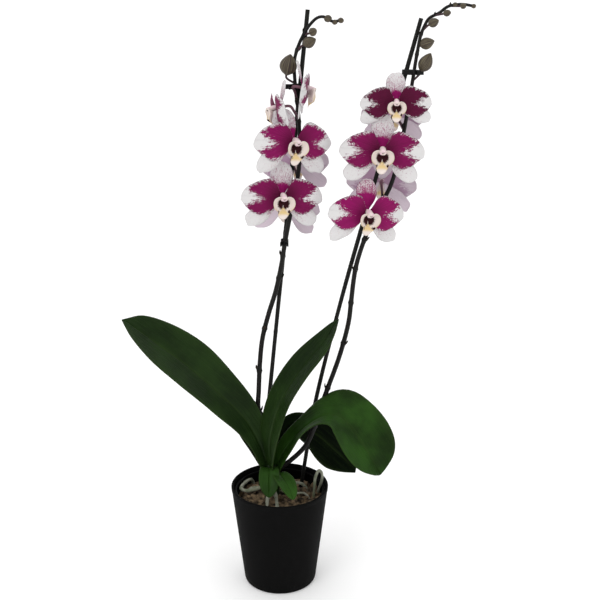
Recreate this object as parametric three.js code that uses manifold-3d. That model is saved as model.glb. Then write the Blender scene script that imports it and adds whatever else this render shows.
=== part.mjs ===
// A potted moth orchid: a dark cover pot with a nursery pot of bark inside it, seven leaves on a
// short stem, aerial roots, and two flower spikes clipped to stakes. Millimetres, +Z up.
// The origin is the centre of the cover pot's foot, and -Y is the front.

import * as THREE from "three";
import { mergeVertices } from "three/addons/utils/BufferGeometryUtils.js";
import Module from "manifold-3d";

const wasm = await Module();
wasm.setup();

// ---------------------------------------------------------------- driving dimensions

const GAP = 0.3; // clearance between any two pieces that touch
const FINEST_DETAIL = 0.08; // edges and steps smaller than this are smoothed away

const POT_HEIGHT = 138;
const POT_RIM_RADIUS = 65;
const ROOTS_LAID_OUT_FOR_RIM = 65; // the rim radius that the root paths are written for
const POT_FOOT_RADIUS = 48.5;
const POT_WALL = 3;
const POT_FLOOR = 4;
const POT_FOOT_ROUND = 4;

const NURSERY_PLAY = 1.2; // radial room between the two pots
const NURSERY_WALL = 1.5;
const NURSERY_FLOOR = 2;
const NURSERY_BELOW_RIM = 6; // how far its rim sits below the cover pot's rim
const DRAIN_RADIUS = 4;
const DRAIN_COUNT = 6;
const DRAIN_RING_RADIUS = 28;

const BARK_BELOW_RIM = 20; // bark surface at the wall, below the cover pot's rim
const BARK_MOUND = 4; // rise of the bark surface at the middle
const CHIP_SINK = 1.5;

const STEM_RADIUS = 9;
const STEM_TOP = [-12, 4, 50]; // above the bark's edge
const STEM_DEPTH = 30; // how far the stem reaches below the bark surface

const LEAF_THICKNESS = 3;
const LEAF_CHANNEL = 0.22; // rise of a leaf's edges, as a share of its half-width

const SPIKE_BASE_RADIUS = 3;
const SPIKE_TIP_RADIUS = 1.5;
const PEDICEL_RADIUS = 1.5;
const STAKE_RADIUS = 2.5;
const ROOT_RADIUS = 2.3;

const BLOOM_SCALE = 1; // size of every flower against its listed span
const TEPAL_THICKNESS = 1.5;
const HUB_RADIUS = 5;
const CLIP_HEIGHT = 6;
const CLIP_WALL = 1.2;

// ---------------------------------------------------------------- materials

function finish(color, roughness) {
  return new THREE.MeshStandardMaterial({ color, roughness, metalness: 0 });
}

const materials = {
  coverPot: finish(0x1b1c1d, 0.55),
  nurseryPot: finish(0x26302a, 0.4),
  bark: finish(0x3a2418, 0.9),
  chip: finish(0x6b4430, 0.9),
  stem: finish(0x27401c, 0.55),
  leaf: finish(0x1d3a14, 0.45),
  spike: finish(0x1c2412, 0.55),
  stake: finish(0x161a12, 0.6),
  clip: finish(0x2c3a26, 0.35),
  root: finish(0x9aa588, 0.7),
  tepal: finish(0xa3186e, 0.6),
  lip: finish(0xe9dcc0, 0.55),
  bud: finish(0x5a5140, 0.6),
};

// ---------------------------------------------------------------- solids and placing

/** Turns a closed geometry into a solid that can be cut and joined. */
function toSolid(geometry) {
  const bare = geometry.clone();
  bare.deleteAttribute("normal");
  bare.deleteAttribute("uv");
  const merged = mergeVertices(bare, 1e-4);
  const vertProperties = new Float32Array(merged.attributes.position.array);
  const triVerts = new Uint32Array(merged.index.array);
  return new wasm.Manifold(new wasm.Mesh({ numProp: 3, vertProperties, triVerts }));
}

function toGeometry(solid) {
  const mesh = solid.getMesh();
  const geometry = new THREE.BufferGeometry();
  geometry.setAttribute("position", new THREE.BufferAttribute(mesh.vertProperties, 3));
  geometry.setIndex(new THREE.BufferAttribute(mesh.triVerts, 1));
  geometry.computeVertexNormals();
  return geometry;
}

function largestPiece(solid) {
  const pieces = solid.decompose();
  return pieces.reduce((best, piece) => (piece.volume() > best.volume() ? piece : best));
}

function boxesMeet(a, b) {
  return [0, 1, 2].every((axis) => a.min[axis] <= b.max[axis] && b.min[axis] <= a.max[axis]);
}

function joined(solids) {
  return solids.reduce((total, solid) => total.add(solid));
}

const plant = new THREE.Group();
const placed = [];

/**
 * Adds one named piece. build(grow) makes its solid, fattened all round by grow, so each piece
 * is first cut back to GAP from every piece that was placed before it.
 */
function place(name, material, build) {
  let solid = build(0);
  for (const other of placed) {
    if (boxesMeet(solid.boundingBox(), other.room.boundingBox())) {
      solid = solid.subtract(other.room);
    }
  }
  solid = largestPiece(solid.simplify(FINEST_DETAIL));
  placed.push({ room: build(GAP) });
  const mesh = new THREE.Mesh(toGeometry(solid), material);
  mesh.name = name;
  plant.add(mesh);
}

// ---------------------------------------------------------------- shapes along a path

/** Reads a list of stations at t from 0 to 1, smoothly, one value at a time. */
function between(values, t) {
  const at = Math.min(t, 0.999999) * (values.length - 1);
  const low = Math.floor(at);
  return THREE.MathUtils.lerp(values[low], values[low + 1], at - low);
}

function pathThrough(points) {
  const corners = points.map((point) => new THREE.Vector3(point[0], point[1], point[2]));
  return new THREE.CatmullRomCurve3(corners, false, "centripetal");
}

/** A round stem along a path, tapering through the radii, with flat ends. */
function stemSolid(points, radii, sides, steps, grow = 0) {
  const path = pathThrough(points);
  const tube = new THREE.CylinderGeometry(1, 1, 1, sides, steps);
  const spots = Array.from({ length: steps + 1 }, (_, i) => path.getPoint(i / steps));
  const frames = path.computeFrenetFrames(steps, false);
  const spot = tube.attributes.position;
  for (let i = 0; i < spot.count; i += 1) {
    const step = Math.round((spot.getY(i) + 0.5) * steps);
    const tangent = path.getTangent(step / steps);
    const side = frames.binormals[step].clone().cross(tangent).normalize();
    const other = tangent.clone().cross(side);
    const radius = between(radii, step / steps) + grow;
    const overrun = step === 0 ? -grow : step === steps ? grow : 0;
    const point = spots[step].clone().addScaledVector(tangent, overrun);
    point.addScaledVector(other, spot.getX(i) * radius);
    point.addScaledVector(side, spot.getZ(i) * radius);
    spot.setXYZ(i, point.x, point.y, point.z);
  }
  return toSolid(tube);
}

/**
 * A thin blade along a midrib. Each station is [x, y, z, half-width, roll in degrees]; the blade
 * faces +Z where its roll is 0, and a positive roll turns its face towards heading x Z.
 */
function bladeGeometry(stations, heading, options, grow = 0) {
  const { steps, across, thickness, channel } = options;
  const path = pathThrough(stations);
  const box = new THREE.BoxGeometry(1, 1, 1, steps, across, 1);
  const sideways = new THREE.Vector3(heading[0], heading[1], 0).normalize();
  sideways.cross(new THREE.Vector3(0, 0, 1));
  const halfWidths = stations.map((station) => station[3]);
  const rolls = stations.map((station) => station[4] ?? 0);
  const spot = box.attributes.position;
  for (let i = 0; i < spot.count; i += 1) {
    const t = spot.getX(i) + 0.5;
    const v = spot.getY(i) * 2;
    const tangent = path.getTangent(t);
    const side = sideways.clone().addScaledVector(tangent, -sideways.dot(tangent)).normalize();
    side.applyAxisAngle(tangent, THREE.MathUtils.degToRad(between(rolls, t)));
    const face = side.clone().cross(tangent);
    const halfWidth = between(halfWidths, t) + grow;
    const halfThick = (thickness / 2) * (1 - 0.45 * v * v) + grow;
    const overrun = t < 1e-6 ? -grow : t > 1 - 1e-6 ? grow : 0;
    const point = path.getPoint(t).addScaledVector(tangent, overrun);
    point.addScaledVector(side, -v * halfWidth);
    point.addScaledVector(face, channel * halfWidth * v * v + spot.getZ(i) * 2 * halfThick);
    spot.setXYZ(i, point.x, point.y, point.z);
  }
  return box;
}

/** The point of a path that rises all the way, at a given height. */
function atHeight(path, height) {
  let low = 0;
  let high = 1;
  for (let i = 0; i < 30; i += 1) {
    const middle = (low + high) / 2;
    if (path.getPoint(middle).z < height) low = middle;
    else high = middle;
  }
  return path.getPoint(low);
}

// ---------------------------------------------------------------- pots and bark

const POT_TAPER = (POT_RIM_RADIUS - POT_FOOT_RADIUS) / POT_HEIGHT;
const ROOT_SPREAD = POT_RIM_RADIUS / ROOTS_LAID_OUT_FOR_RIM;
const NURSERY_FOOT_Z = POT_FLOOR + GAP;
const NURSERY_RIM_Z = POT_HEIGHT - NURSERY_BELOW_RIM;
const BARK_EDGE_Z = POT_HEIGHT - BARK_BELOW_RIM;

function potRadius(z) {
  return POT_FOOT_RADIUS + POT_TAPER * z;
}

function nurseryRadius(z) {
  return potRadius(z) - POT_WALL - NURSERY_PLAY;
}

/** A point whose height is given above the bark's edge, raised to the pot's own frame. */
function aboveBark([x, y, z, ...rest]) {
  return [x, y, z + BARK_EDGE_Z, ...rest];
}

function barkRadius(z) {
  return nurseryRadius(z) - NURSERY_WALL - GAP;
}

function barkTop(x, y) {
  const share = Math.min(1, Math.hypot(x, y) / barkRadius(BARK_EDGE_Z));
  return BARK_EDGE_Z + BARK_MOUND * (1 - share * share);
}

function lathe(profile, segments) {
  const points = profile.map(([r, z]) => new THREE.Vector2(r, z));
  return toSolid(new THREE.LatheGeometry(points, segments).rotateX(Math.PI / 2));
}

function coverPot(grow) {
  const round = POT_FOOT_ROUND;
  const top = POT_HEIGHT + grow;
  const profile = [
    [0, 0],
    [POT_FOOT_RADIUS - round, 0],
    [potRadius(round * 0.3) - round * 0.3 + grow, round * 0.3],
    [potRadius(round) + grow, round],
    [potRadius(top) - 0.6 + grow, top],
    [potRadius(top) - POT_WALL - grow, top],
    [potRadius(POT_FLOOR) - POT_WALL - grow, POT_FLOOR + grow],
    [0, POT_FLOOR + grow],
  ];
  return lathe(profile, 40);
}

function nurseryPot(grow) {
  const foot = NURSERY_FOOT_Z;
  const floor = foot + NURSERY_FLOOR + grow;
  const top = NURSERY_RIM_Z + grow;
  const profile = [
    [0, foot],
    [nurseryRadius(foot), foot],
    [nurseryRadius(top) + grow, top],
    [nurseryRadius(top) - NURSERY_WALL - grow, top],
    [nurseryRadius(floor) - NURSERY_WALL - grow, floor],
    [0, floor],
  ];
  let pot = lathe(profile, 36);
  for (let i = 0; i < DRAIN_COUNT; i += 1) {
    const angle = (i / DRAIN_COUNT) * 2 * Math.PI;
    const hole = new THREE.CylinderGeometry(DRAIN_RADIUS, DRAIN_RADIUS, 4 * NURSERY_FLOOR, 10);
    hole.rotateX(Math.PI / 2);
    hole.translate(DRAIN_RING_RADIUS * Math.cos(angle), DRAIN_RING_RADIUS * Math.sin(angle), foot);
    pot = pot.subtract(toSolid(hole));
  }
  return pot;
}

function barkBed(grow) {
  const low = NURSERY_FOOT_Z + NURSERY_FLOOR + GAP;
  const rings = [0.7, 0];
  const profile = [[0, low], [barkRadius(low), low], [barkRadius(BARK_EDGE_Z), BARK_EDGE_Z + grow]];
  for (const share of rings) {
    const radius = share * barkRadius(BARK_EDGE_Z);
    profile.push([radius, barkTop(radius, 0) + grow]);
  }
  return lathe(profile, 30);
}

/** A flat chip of bark lying on the bed: a box whose corners are drawn in unevenly. */
function barkChip(x, y, turn, length, width, height) {
  return (grow) => {
    const chip = new THREE.BoxGeometry(1, 1, 1, 3, 2, 1);
    const spot = chip.attributes.position;
    for (let i = 0; i < spot.count; i += 1) {
      const along = spot.getX(i) * 2;
      const side = spot.getY(i) * 2;
      const up = spot.getZ(i);
      const narrow = 1 - 0.3 * along * along;
      const thin = 1 - 0.25 * side * side;
      spot.setX(i, along * (length / 2 + grow) * (1 - 0.15 * side * up));
      spot.setY(i, side * (width / 2 + grow) * narrow);
      spot.setZ(i, up * (height + 2 * grow) * thin + height / 2 + 0.6 * along);
    }
    chip.rotateZ(THREE.MathUtils.degToRad(turn));
    chip.translate(x, y, barkTop(x, y) - CHIP_SINK);
    return toSolid(chip);
  };
}

// ---------------------------------------------------------------- stakes and flower spikes
// The heights in the lists below are above the bark's edge.

const STAKE_DEPTH = 78; // how far a stake reaches below the bark surface

const stakePaths = {
  left: [[-35, 26, -STAKE_DEPTH], [0, 23, 272], [36, 20, 627]],
  right: [
    [15, 30, -STAKE_DEPTH], [28, 30, 0], [47, 30, 123], [80, 30, 267], [119, 30, 417],
    [171, 30, 617],
  ],
};

const spikePaths = {
  left: [
    [-12, 9, 38], [-17, 14, 58], [-24, 20, 87], [-29, 23, 122], [-28, 23, 143], [-26, 21, 182],
    [-22, 18, 219], [-14, 15, 252], [-2, 14.5, 285], [8, 16, 318], [12, 17.5, 345], [16, 17, 372],
    [25, 17, 439], [25, 14, 501], [21, 17, 537], [20, 18, 569], [25, 16, 587], [32, 13, 601],
    [39, 12, 611], [47, 8, 618], [54, 6, 619], [64, 4, 614], [74, 3, 615],
  ],
  right: [
    [-6, 8, 36], [14, 12, 49], [32, 18, 65], [40, 20, 79], [59, 20, 138], [78, 20, 195],
    [89, 20, 241], [92, 21, 270], [97, 22, 312], [107, 24, 347], [121, 25, 382], [138, 25, 415],
    [147, 25, 447], [153, 25, 482], [159, 25, 522], [162, 25, 545], [166, 25, 575], [170, 25, 598],
    [173, 25, 606], [179, 24, 617], [190, 22, 623], [199, 19, 630], [205, 17, 632], [217, 15, 633],
    [229, 12, 631],
  ],
};

/** Flowers: hub centre, azimuth (0 faces the front), nod, roll, span and rachis height. */
const blooms = {
  left: [
    { hub: [6, -12, 412], azimuth: 12, nod: 4, roll: -2, span: 99, from: 394 },
    { hub: [20, -12, 478], azimuth: 25, nod: 3, roll: -4, span: 100, from: 460 },
    { hub: [0, 0, 515], azimuth: -78, nod: 6, roll: 0, span: 82, from: 498 },
    { hub: [33, 0, 538], azimuth: 86, nod: 6, roll: 0, span: 82, from: 522 },
    { hub: [9, 50, 389], azimuth: 176, nod: 4, roll: 6, span: 86, from: 372 },
    { hub: [20, 48, 444], azimuth: 165, nod: 4, roll: -8, span: 88, from: 427 },
  ],
  right: [
    { hub: [109, -8, 391], azimuth: 18, nod: 5, roll: -6, span: 98, from: 372 },
    { hub: [125, -14, 468], azimuth: 0, nod: 4, roll: -2, span: 100, from: 444 },
    { hub: [140, -12, 524], azimuth: 0, nod: 4, roll: 1, span: 83, from: 504 },
    { hub: [131, 56, 418], azimuth: 170, nod: 4, roll: 5, span: 88, from: 397 },
    { hub: [144, 56, 503], azimuth: 168, nod: 4, roll: 0, span: 80, from: 486 },
  ],
};

/** Buds: centre, pointing direction, length, width and rachis height. */
const buds = {
  left: [
    { centre: [13, 14, 564], points: [0.2, -0.2, 1], length: 25, width: 21, from: 541 },
    { centre: [38, 9, 590], points: [0.8, -0.3, 0.35], length: 17, width: 14, from: 580 },
    { centre: [42, 4, 602], points: [0.5, -0.7, 0.2], length: 12, width: 10, from: 598 },
  ],
  right: [
    { centre: [177, 24, 566], points: [0.45, -0.1, 0.9], length: 24, width: 17, from: 544 },
    { centre: [178, 24, 588], points: [0.95, -0.1, 0.3], length: 18, width: 14.5, from: 576 },
    { centre: [184, 17, 612], points: [0.6, -0.6, 0.3], length: 15, width: 11, from: 602 },
    { centre: [199, 13, 623], points: [0.6, -0.7, 0.1], length: 11, width: 8, from: 620 },
    { centre: [217, 9, 631], points: [0.5, -0.8, 0], length: 9, width: 7, from: 631 },
  ],
};

/** Small closed tip buds that are still one piece with the spike. */
const tipBuds = {
  left: [[59, 5, 617, 4.2], [67, 4, 613, 3], [74, 3, 615, 3.2]],
  right: [[208, 16, 632.5, 2.8], [229, 12, 631, 2.6]],
};

function stake(side) {
  const steps = side === "left" ? 2 : 8;
  return (grow) => stemSolid(stakePaths[side].map(aboveBark), [STAKE_RADIUS, STAKE_RADIUS], 8, steps, grow);
}

/** Where a flower faces, from its azimuth and nod. */
function bloomMatrix(bloom) {
  const matrix = new THREE.Matrix4().makeTranslation(...aboveBark(bloom.hub));
  const turn = THREE.MathUtils.degToRad;
  matrix.multiply(new THREE.Matrix4().makeRotationZ(turn(bloom.azimuth)));
  matrix.multiply(new THREE.Matrix4().makeRotationX(turn(90 + bloom.nod)));
  matrix.multiply(new THREE.Matrix4().makeRotationZ(turn(bloom.roll)));
  const size = (bloom.span / 100) * BLOOM_SCALE;
  return matrix.scale(new THREE.Vector3(size, size, size));
}

function inBloom(bloom, x, y, z) {
  return new THREE.Vector3(x, y, z).applyMatrix4(bloomMatrix(bloom)).toArray();
}

function pedicel(rachis, bloom, grow) {
  const start = atHeight(rachis, BARK_EDGE_Z + bloom.from).toArray();
  const back = inBloom(bloom, 0, 0, -18);
  const end = inBloom(bloom, 0, 0, -2);
  return stemSolid([start, back, end], [PEDICEL_RADIUS, PEDICEL_RADIUS * 1.2], 5, 4, grow);
}

function budStalk(rachis, bud, grow) {
  const start = atHeight(rachis, BARK_EDGE_Z + bud.from).toArray();
  const centre = new THREE.Vector3(...aboveBark(bud.centre));
  const pointing = new THREE.Vector3(...bud.points).normalize();
  const base = centre.clone().addScaledVector(pointing, -0.36 * bud.length);
  const below = centre.clone().addScaledVector(pointing, -0.62 * bud.length);
  const stalk = [start, below.toArray(), base.toArray()];
  return stemSolid(stalk, [PEDICEL_RADIUS * 0.8, PEDICEL_RADIUS * 0.8], 5, 3, grow);
}

function tipBud(bud, grow) {
  const [x, y, z, radius] = aboveBark(bud);
  const ball = new THREE.SphereGeometry(radius + grow, 6, 4);
  return toSolid(ball.scale(1.2, 1, 1).translate(x, y, z));
}

function flowerSpike(side) {
  const points = spikePaths[side].map(aboveBark);
  const rachis = pathThrough(points);
  const [base, tip] = [SPIKE_BASE_RADIUS, SPIKE_TIP_RADIUS];
  const radii = [base, base * 0.9, base * 0.75, tip];
  return (grow) => joined([
    stemSolid(points, radii, 6, 32, grow),
    ...blooms[side].map((bloom) => pedicel(rachis, bloom, grow)),
    ...buds[side].map((bud) => budStalk(rachis, bud, grow)),
    ...tipBuds[side].map((bud) => tipBud(bud, grow)),
  ]);
}

/** A butterfly clip: a closed loop round the stake and the spike, with two flat wings. */
function clip(side, heightAboveBark) {
  const height = BARK_EDGE_Z + heightAboveBark;
  const onStake = atHeight(pathThrough(stakePaths[side].map(aboveBark)), height);
  const onSpike = atHeight(pathThrough(spikePaths[side].map(aboveBark)), height);
  const across = onSpike.clone().sub(onStake).setZ(0);
  const reach = across.length();
  const radius = SPIKE_BASE_RADIUS + GAP + CLIP_WALL;
  const wingLength = 9;
  return (grow) => {
    const outline = new THREE.Shape();
    outline.absarc(0, 0, radius + grow, Math.PI / 2, (3 * Math.PI) / 2, false);
    outline.absarc(reach, 0, radius + grow, -Math.PI / 2, Math.PI / 2, false);
    const tall = CLIP_HEIGHT + 2 * grow;
    const options = { depth: tall, bevelEnabled: false, curveSegments: 6 };
    const loop = new THREE.ExtrudeGeometry(outline, options);
    loop.translate(0, 0, -tall / 2);
    const wings = [-1, 1].map((hand) => {
      const wing = new THREE.BoxGeometry(wingLength + 2 * grow, CLIP_WALL + 2 * grow, tall);
      wing.translate(wingLength / 2 + radius * 0.8, 0, 0).rotateZ(hand * 0.5).translate(reach, 0, 0);
      return wing;
    });
    const parts = [loop, ...wings].map((part) => {
      part.rotateZ(Math.atan2(across.y, across.x)).translate(onStake.x, onStake.y, height);
      return toSolid(part);
    });
    return joined(parts);
  };
}

// ---------------------------------------------------------------- stem, leaves and roots

function crownStem(grow) {
  const [x, y, z] = STEM_TOP;
  const points = [[x + 3, y - 1, -STEM_DEPTH], [x + 1, y, 12], [x, y, z]].map(aboveBark);
  return stemSolid(points, [STEM_RADIUS, STEM_RADIUS, STEM_RADIUS * 0.8], 10, 6, grow);
}

/** Leaves: heading in plan, and stations [x, y, z, half-width, roll]. */
const leaves = {
  leaf_big_left: {
    heading: [-1, 0],
    stations: [
      [-14, 0, 40, 11, -50], [-26, 0, 78, 14, -60], [-45, 2, 113, 23, -52], [-77, 3, 147, 34, -36],
      [-118, 3, 186, 41, -28], [-156, 2, 217, 36, -26], [-181, 1, 237, 23, -24], [-198, 0, 249, 5, -22],
    ],
  },
  leaf_upright: {
    heading: [1, 0],
    stations: [
      [-12, -4, 42, 12, 20], [-13, -9, 80, 20, 30], [-6, -14, 120, 23, 34], [6, -19, 154, 24, 32],
      [29, -22, 193, 23, 30], [56, -25, 228, 17, 30], [74, -26, 259, 4, 30],
    ],
  },
  leaf_arching_right: {
    heading: [0.95, -0.3],
    stations: [
      [-6, -4, 42, 10, 60], [12, -8, 79, 14, 50], [35, -10, 108, 18, 25], [60, -10, 124, 28, 20],
      [78, -12, 125, 39, 20], [93, -17, 113, 42, 24], [108, -27, 94, 42, 28], [121, -37, 75, 31, 30],
      [131, -45, 57, 6, 30],
    ],
  },
  leaf_rear_right: {
    heading: [0.95, 0.3],
    stations: [
      [-5, 10, 34, 9, 30], [2, 24, 70, 12, 50], [16, 38, 90, 14, 55], [34, 50, 79, 22, 55],
      [54, 58, 63, 33, 55], [74, 60, 43, 34, 55], [92, 58, 25, 22, 55], [104, 55, 10, 4, 55],
    ],
  },
  leaf_low_left: {
    heading: [-1, 0.1],
    stations: [
      [-16, 12, 30, 8, -30], [-28, 17, 66, 17, -42], [-40, 21, 96, 23, -45], [-55, 25, 127, 17, -45],
      [-66, 27, 146, 4, -45],
    ],
  },
  leaf_front_small: {
    heading: [0, -1],
    stations: [
      [-12, -1, 44, 7, 0], [-13, -14, 49, 12, 0], [-13, -25, 40, 13.5, 0], [-13, -33, 29, 10, 0],
      [-13, -38, 21, 3, 0],
    ],
  },
  leaf_front_right_small: {
    heading: [0.45, -0.89],
    stations: [
      [-9, -2, 34, 7, 0], [1, -20, 43, 11, 0], [9, -36, 40, 12.5, 0], [15, -47, 33, 9, 0],
      [18.5, -54, 26, 3, 0],
    ],
  },
};

function leafBlade({ heading, stations }) {
  const options = { steps: 9, across: 2, thickness: LEAF_THICKNESS, channel: LEAF_CHANNEL };
  return (grow) => toSolid(bladeGeometry(stations.map(aboveBark), heading, options, grow));
}

/** Roots: a path, and a radius against ROOT_RADIUS. Their ends go down into the bark. */
const roots = {
  root_left_loop: {
    path: [
      [-14, 4, 18], [-28, 1, 13], [-45, 0, 10], [-52, 8, 9], [-49, 22, 9], [-40, 38, 7],
      [-35, 44, -8],
    ],
    size: 1,
  },
  root_left_short: { path: [[-14, 7, 10], [-26, 9, 10], [-40, 12, 6], [-46, 14, -8]], size: 0.9 },
  root_right_arch: {
    path: [
      [49, 6, -10], [51, 4, 10], [53, 3, 32], [55.5, 5, 39], [56.5, 9, 32], [55, 15, 12],
      [51, 20, -10],
    ],
    size: 0.8,
  },
  root_front_left: { path: [[-12, -2, 24], [-14, -16, 20], [-16, -32, 6], [-16, -36, -8]], size: 1 },
  root_front_right: { path: [[-8, -2, 18], [-6, -14, 15], [-3, -30, 5], [-3, -34, -8]], size: 1 },
  root_rear_right: { path: [[-6, 8, 16], [12, 15, 14], [30, 19, 10], [41, 21, -8]], size: 0.9 },
  root_thin_right: { path: [[-3, 2, 10], [16, -6, 9], [34, -3, 7], [44, -9, -8]], size: 0.6 },
};

/** Roots spread with the rim, so the ones that arch over the nursery pot still rest on it. */
function root({ path, size }) {
  const radius = ROOT_RADIUS * size;
  const points = path.map(([x, y, z]) => aboveBark([x * ROOT_SPREAD, y * ROOT_SPREAD, z]));
  return (grow) => stemSolid(points, [radius, radius], 6, 8, grow);
}

// ---------------------------------------------------------------- flowers and buds

/** Tepals of a flower of span 100: direction, and stations [reach, forward, half-width]. */
const petalShape = [[2, 0, 9], [13, 2, 20], [26, 2.5, 23.5], [41, 0, 17], [51, -4, 4]];
const sepalShape = [[2, -2, 5], [15, -3, 12.5], [30, -3, 13.5], [42, -2, 4]];
const tepals = [
  { direction: -3, shape: petalShape, reach: 1, wide: 1 },
  { direction: 183, shape: petalShape, reach: 1, wide: 1 },
  { direction: 90, shape: sepalShape, reach: 1, wide: 1 },
  { direction: -47, shape: sepalShape, reach: 1.2, wide: 1.15 },
  { direction: 227, shape: sepalShape, reach: 1.2, wide: 1.15 },
];

const lipLobes = [
  { direction: -90, shape: [[2, 4, 4], [14, 14, 9], [27, 14, 2]] },
  { direction: 20, shape: [[3, 4, 4], [11, 12, 9.5], [16, 20, 4]] },
  { direction: 160, shape: [[3, 4, 4], [11, 12, 9.5], [16, 20, 4]] },
];

function lobe({ direction, shape, reach = 1, wide = 1 }, middleY, grow) {
  const angle = THREE.MathUtils.degToRad(direction);
  const heading = [Math.cos(angle), Math.sin(angle)];
  const stations = shape.map(([along, forward, halfWidth]) => [
    along * reach * heading[0], middleY + along * reach * heading[1], forward, halfWidth * wide, 0,
  ]);
  const options = { steps: shape.length - 1, across: 2, thickness: TEPAL_THICKNESS, channel: 0.06 };
  return bladeGeometry(stations, heading, options, grow);
}

function bloomTepals(bloom) {
  const matrix = bloomMatrix(bloom);
  return (grow) => {
    const hub = new THREE.SphereGeometry(HUB_RADIUS + grow, 6, 4).scale(1, 1, 0.8);
    const blades = tepals.map((tepal) => lobe(tepal, 0, grow));
    return joined([hub, ...blades].map((blade) => toSolid(blade.applyMatrix4(matrix))));
  };
}

function bloomLip(bloom) {
  const matrix = bloomMatrix(bloom);
  return (grow) => {
    const column = new THREE.CylinderGeometry(3 + grow, 4.5 + grow, 13, 6).rotateX(Math.PI / 2);
    column.translate(0, -1, 6.5);
    const blades = lipLobes.map((part) => lobe(part, -4, grow));
    return joined([column, ...blades].map((part) => toSolid(part.applyMatrix4(matrix))));
  };
}

function flowerBud({ centre, points, length, width }) {
  const along = new THREE.Vector3(...points).normalize();
  const turn = new THREE.Quaternion().setFromUnitVectors(new THREE.Vector3(0, 0, 1), along);
  return (grow) => {
    const ball = new THREE.SphereGeometry(0.5, 8, 5).rotateX(Math.PI / 2);
    ball.scale(width + 2 * grow, width + 2 * grow, length + 2 * grow);
    return toSolid(ball.applyQuaternion(turn).translate(...aboveBark(centre)));
  };
}

// ---------------------------------------------------------------- the whole plant

place("cover_pot", materials.coverPot, coverPot);
place("nursery_pot", materials.nurseryPot, nurseryPot);
place("crown_stem", materials.stem, crownStem);
for (const side of ["left", "right"]) {
  place(`stake_${side}`, materials.stake, stake(side));
  place(`flower_spike_${side}`, materials.spike, flowerSpike(side));
}
place("clip_left_lower", materials.clip, clip("left", 345));
place("clip_left_upper", materials.clip, clip("left", 537));
place("clip_right", materials.clip, clip("right", 554));
for (const [name, leaf] of Object.entries(leaves)) {
  place(name, materials.leaf, leafBlade(leaf));
}
for (const [name, shape] of Object.entries(roots)) {
  place(name, materials.root, root(shape));
}
place("bark_bed", materials.bark, barkBed);
place("bark_chip_1", materials.chip, barkChip(27, 10, 20, 17, 11, 6));
place("bark_chip_2", materials.chip, barkChip(36, 2, -35, 13, 9, 5));
place("bark_chip_3", materials.chip, barkChip(6, 38, 60, 12, 9, 6));
place("bark_chip_4", materials.chip, barkChip(33, 33, 80, 13, 9, 6));
for (const side of ["left", "right"]) {
  blooms[side].forEach((bloom, index) => {
    place(`lip_${side}_${index + 1}`, materials.lip, bloomLip(bloom));
    place(`tepals_${side}_${index + 1}`, materials.tepal, bloomTepals(bloom));
  });
  buds[side].forEach((bud, index) => {
    place(`bud_${side}_${index + 1}`, materials.bud, flowerBud(bud));
  });
}

export default plant;
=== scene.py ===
"""A potted moth orchid: two flower spikes on stakes, with magenta and white flowers."""

import math

import bmesh
import bpy
import numpy as np
from bpy.props import FloatProperty, FloatVectorProperty, IntProperty, PointerProperty
from mathutils import Matrix, Vector


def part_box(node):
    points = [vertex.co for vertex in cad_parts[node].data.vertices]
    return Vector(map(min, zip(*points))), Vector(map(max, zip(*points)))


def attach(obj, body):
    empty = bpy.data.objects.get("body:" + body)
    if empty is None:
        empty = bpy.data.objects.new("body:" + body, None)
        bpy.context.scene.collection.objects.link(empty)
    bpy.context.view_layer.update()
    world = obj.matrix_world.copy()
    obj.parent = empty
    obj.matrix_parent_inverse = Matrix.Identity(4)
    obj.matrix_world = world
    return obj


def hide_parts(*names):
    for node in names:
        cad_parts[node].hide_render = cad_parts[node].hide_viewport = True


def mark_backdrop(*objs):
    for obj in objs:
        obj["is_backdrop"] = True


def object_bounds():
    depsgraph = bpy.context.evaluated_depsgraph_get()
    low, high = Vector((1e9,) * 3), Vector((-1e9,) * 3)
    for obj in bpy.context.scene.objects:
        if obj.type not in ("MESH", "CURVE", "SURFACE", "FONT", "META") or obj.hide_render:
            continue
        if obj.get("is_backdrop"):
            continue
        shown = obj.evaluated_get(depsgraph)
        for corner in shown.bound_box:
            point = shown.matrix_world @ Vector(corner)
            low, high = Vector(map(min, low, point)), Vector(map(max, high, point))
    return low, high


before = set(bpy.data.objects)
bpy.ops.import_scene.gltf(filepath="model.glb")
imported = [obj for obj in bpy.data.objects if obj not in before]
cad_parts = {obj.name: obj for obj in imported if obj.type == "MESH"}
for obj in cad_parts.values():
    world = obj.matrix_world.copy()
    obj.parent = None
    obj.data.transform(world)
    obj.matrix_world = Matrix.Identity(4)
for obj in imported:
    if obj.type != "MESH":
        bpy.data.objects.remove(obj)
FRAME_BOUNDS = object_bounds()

bl_info = {
    "name": "Potted orchid",
    "version": (1, 0, 0),
    "blender": (4, 5, 0),
    "location": "3D View > Sidebar > Orchid",
    "description": "Builds the visible pieces of a potted orchid round its CAD frame",
    "category": "Object",
}

# ---------------------------------------------------------------- sizes, in millimetres
MM = 0.001

POT_WALL = 3
POT_FLOOR = 4
POT_FOOT_ROUND = 4
POT_RIM_ROUND = 1.4
POT_TAPER = 16.5 / 138  # how much the radius grows per millimetre of height
NURSERY_WALL = 1.5
NURSERY_FLOOR = 2
NURSERY_LIP = 1.1
DRAIN_COUNT = 6
DRAIN_RADIUS = 4
DRAIN_RING = 28
POT_SEGMENTS = 144

STAKE_RADIUS = 2.8
SPIKE_BASE_RADIUS = 3.3
SPIKE_TIP_RADIUS = 1.7
PEDICEL_RADIUS = 1.5
ROOT_RADIUS = 2.3
STEM_RADIUS = 9
LEAF_THICKNESS = 2.6
LEAF_CHANNEL = 0.22
TEPAL_THICKNESS = 0.9
CLIP_ROOM = 1.1  # from the thicker of stake and spike to the middle of the band
CLIP_WING = 9
CLIP_WALL = 1.2
CLIP_HEIGHT = 6

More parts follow.
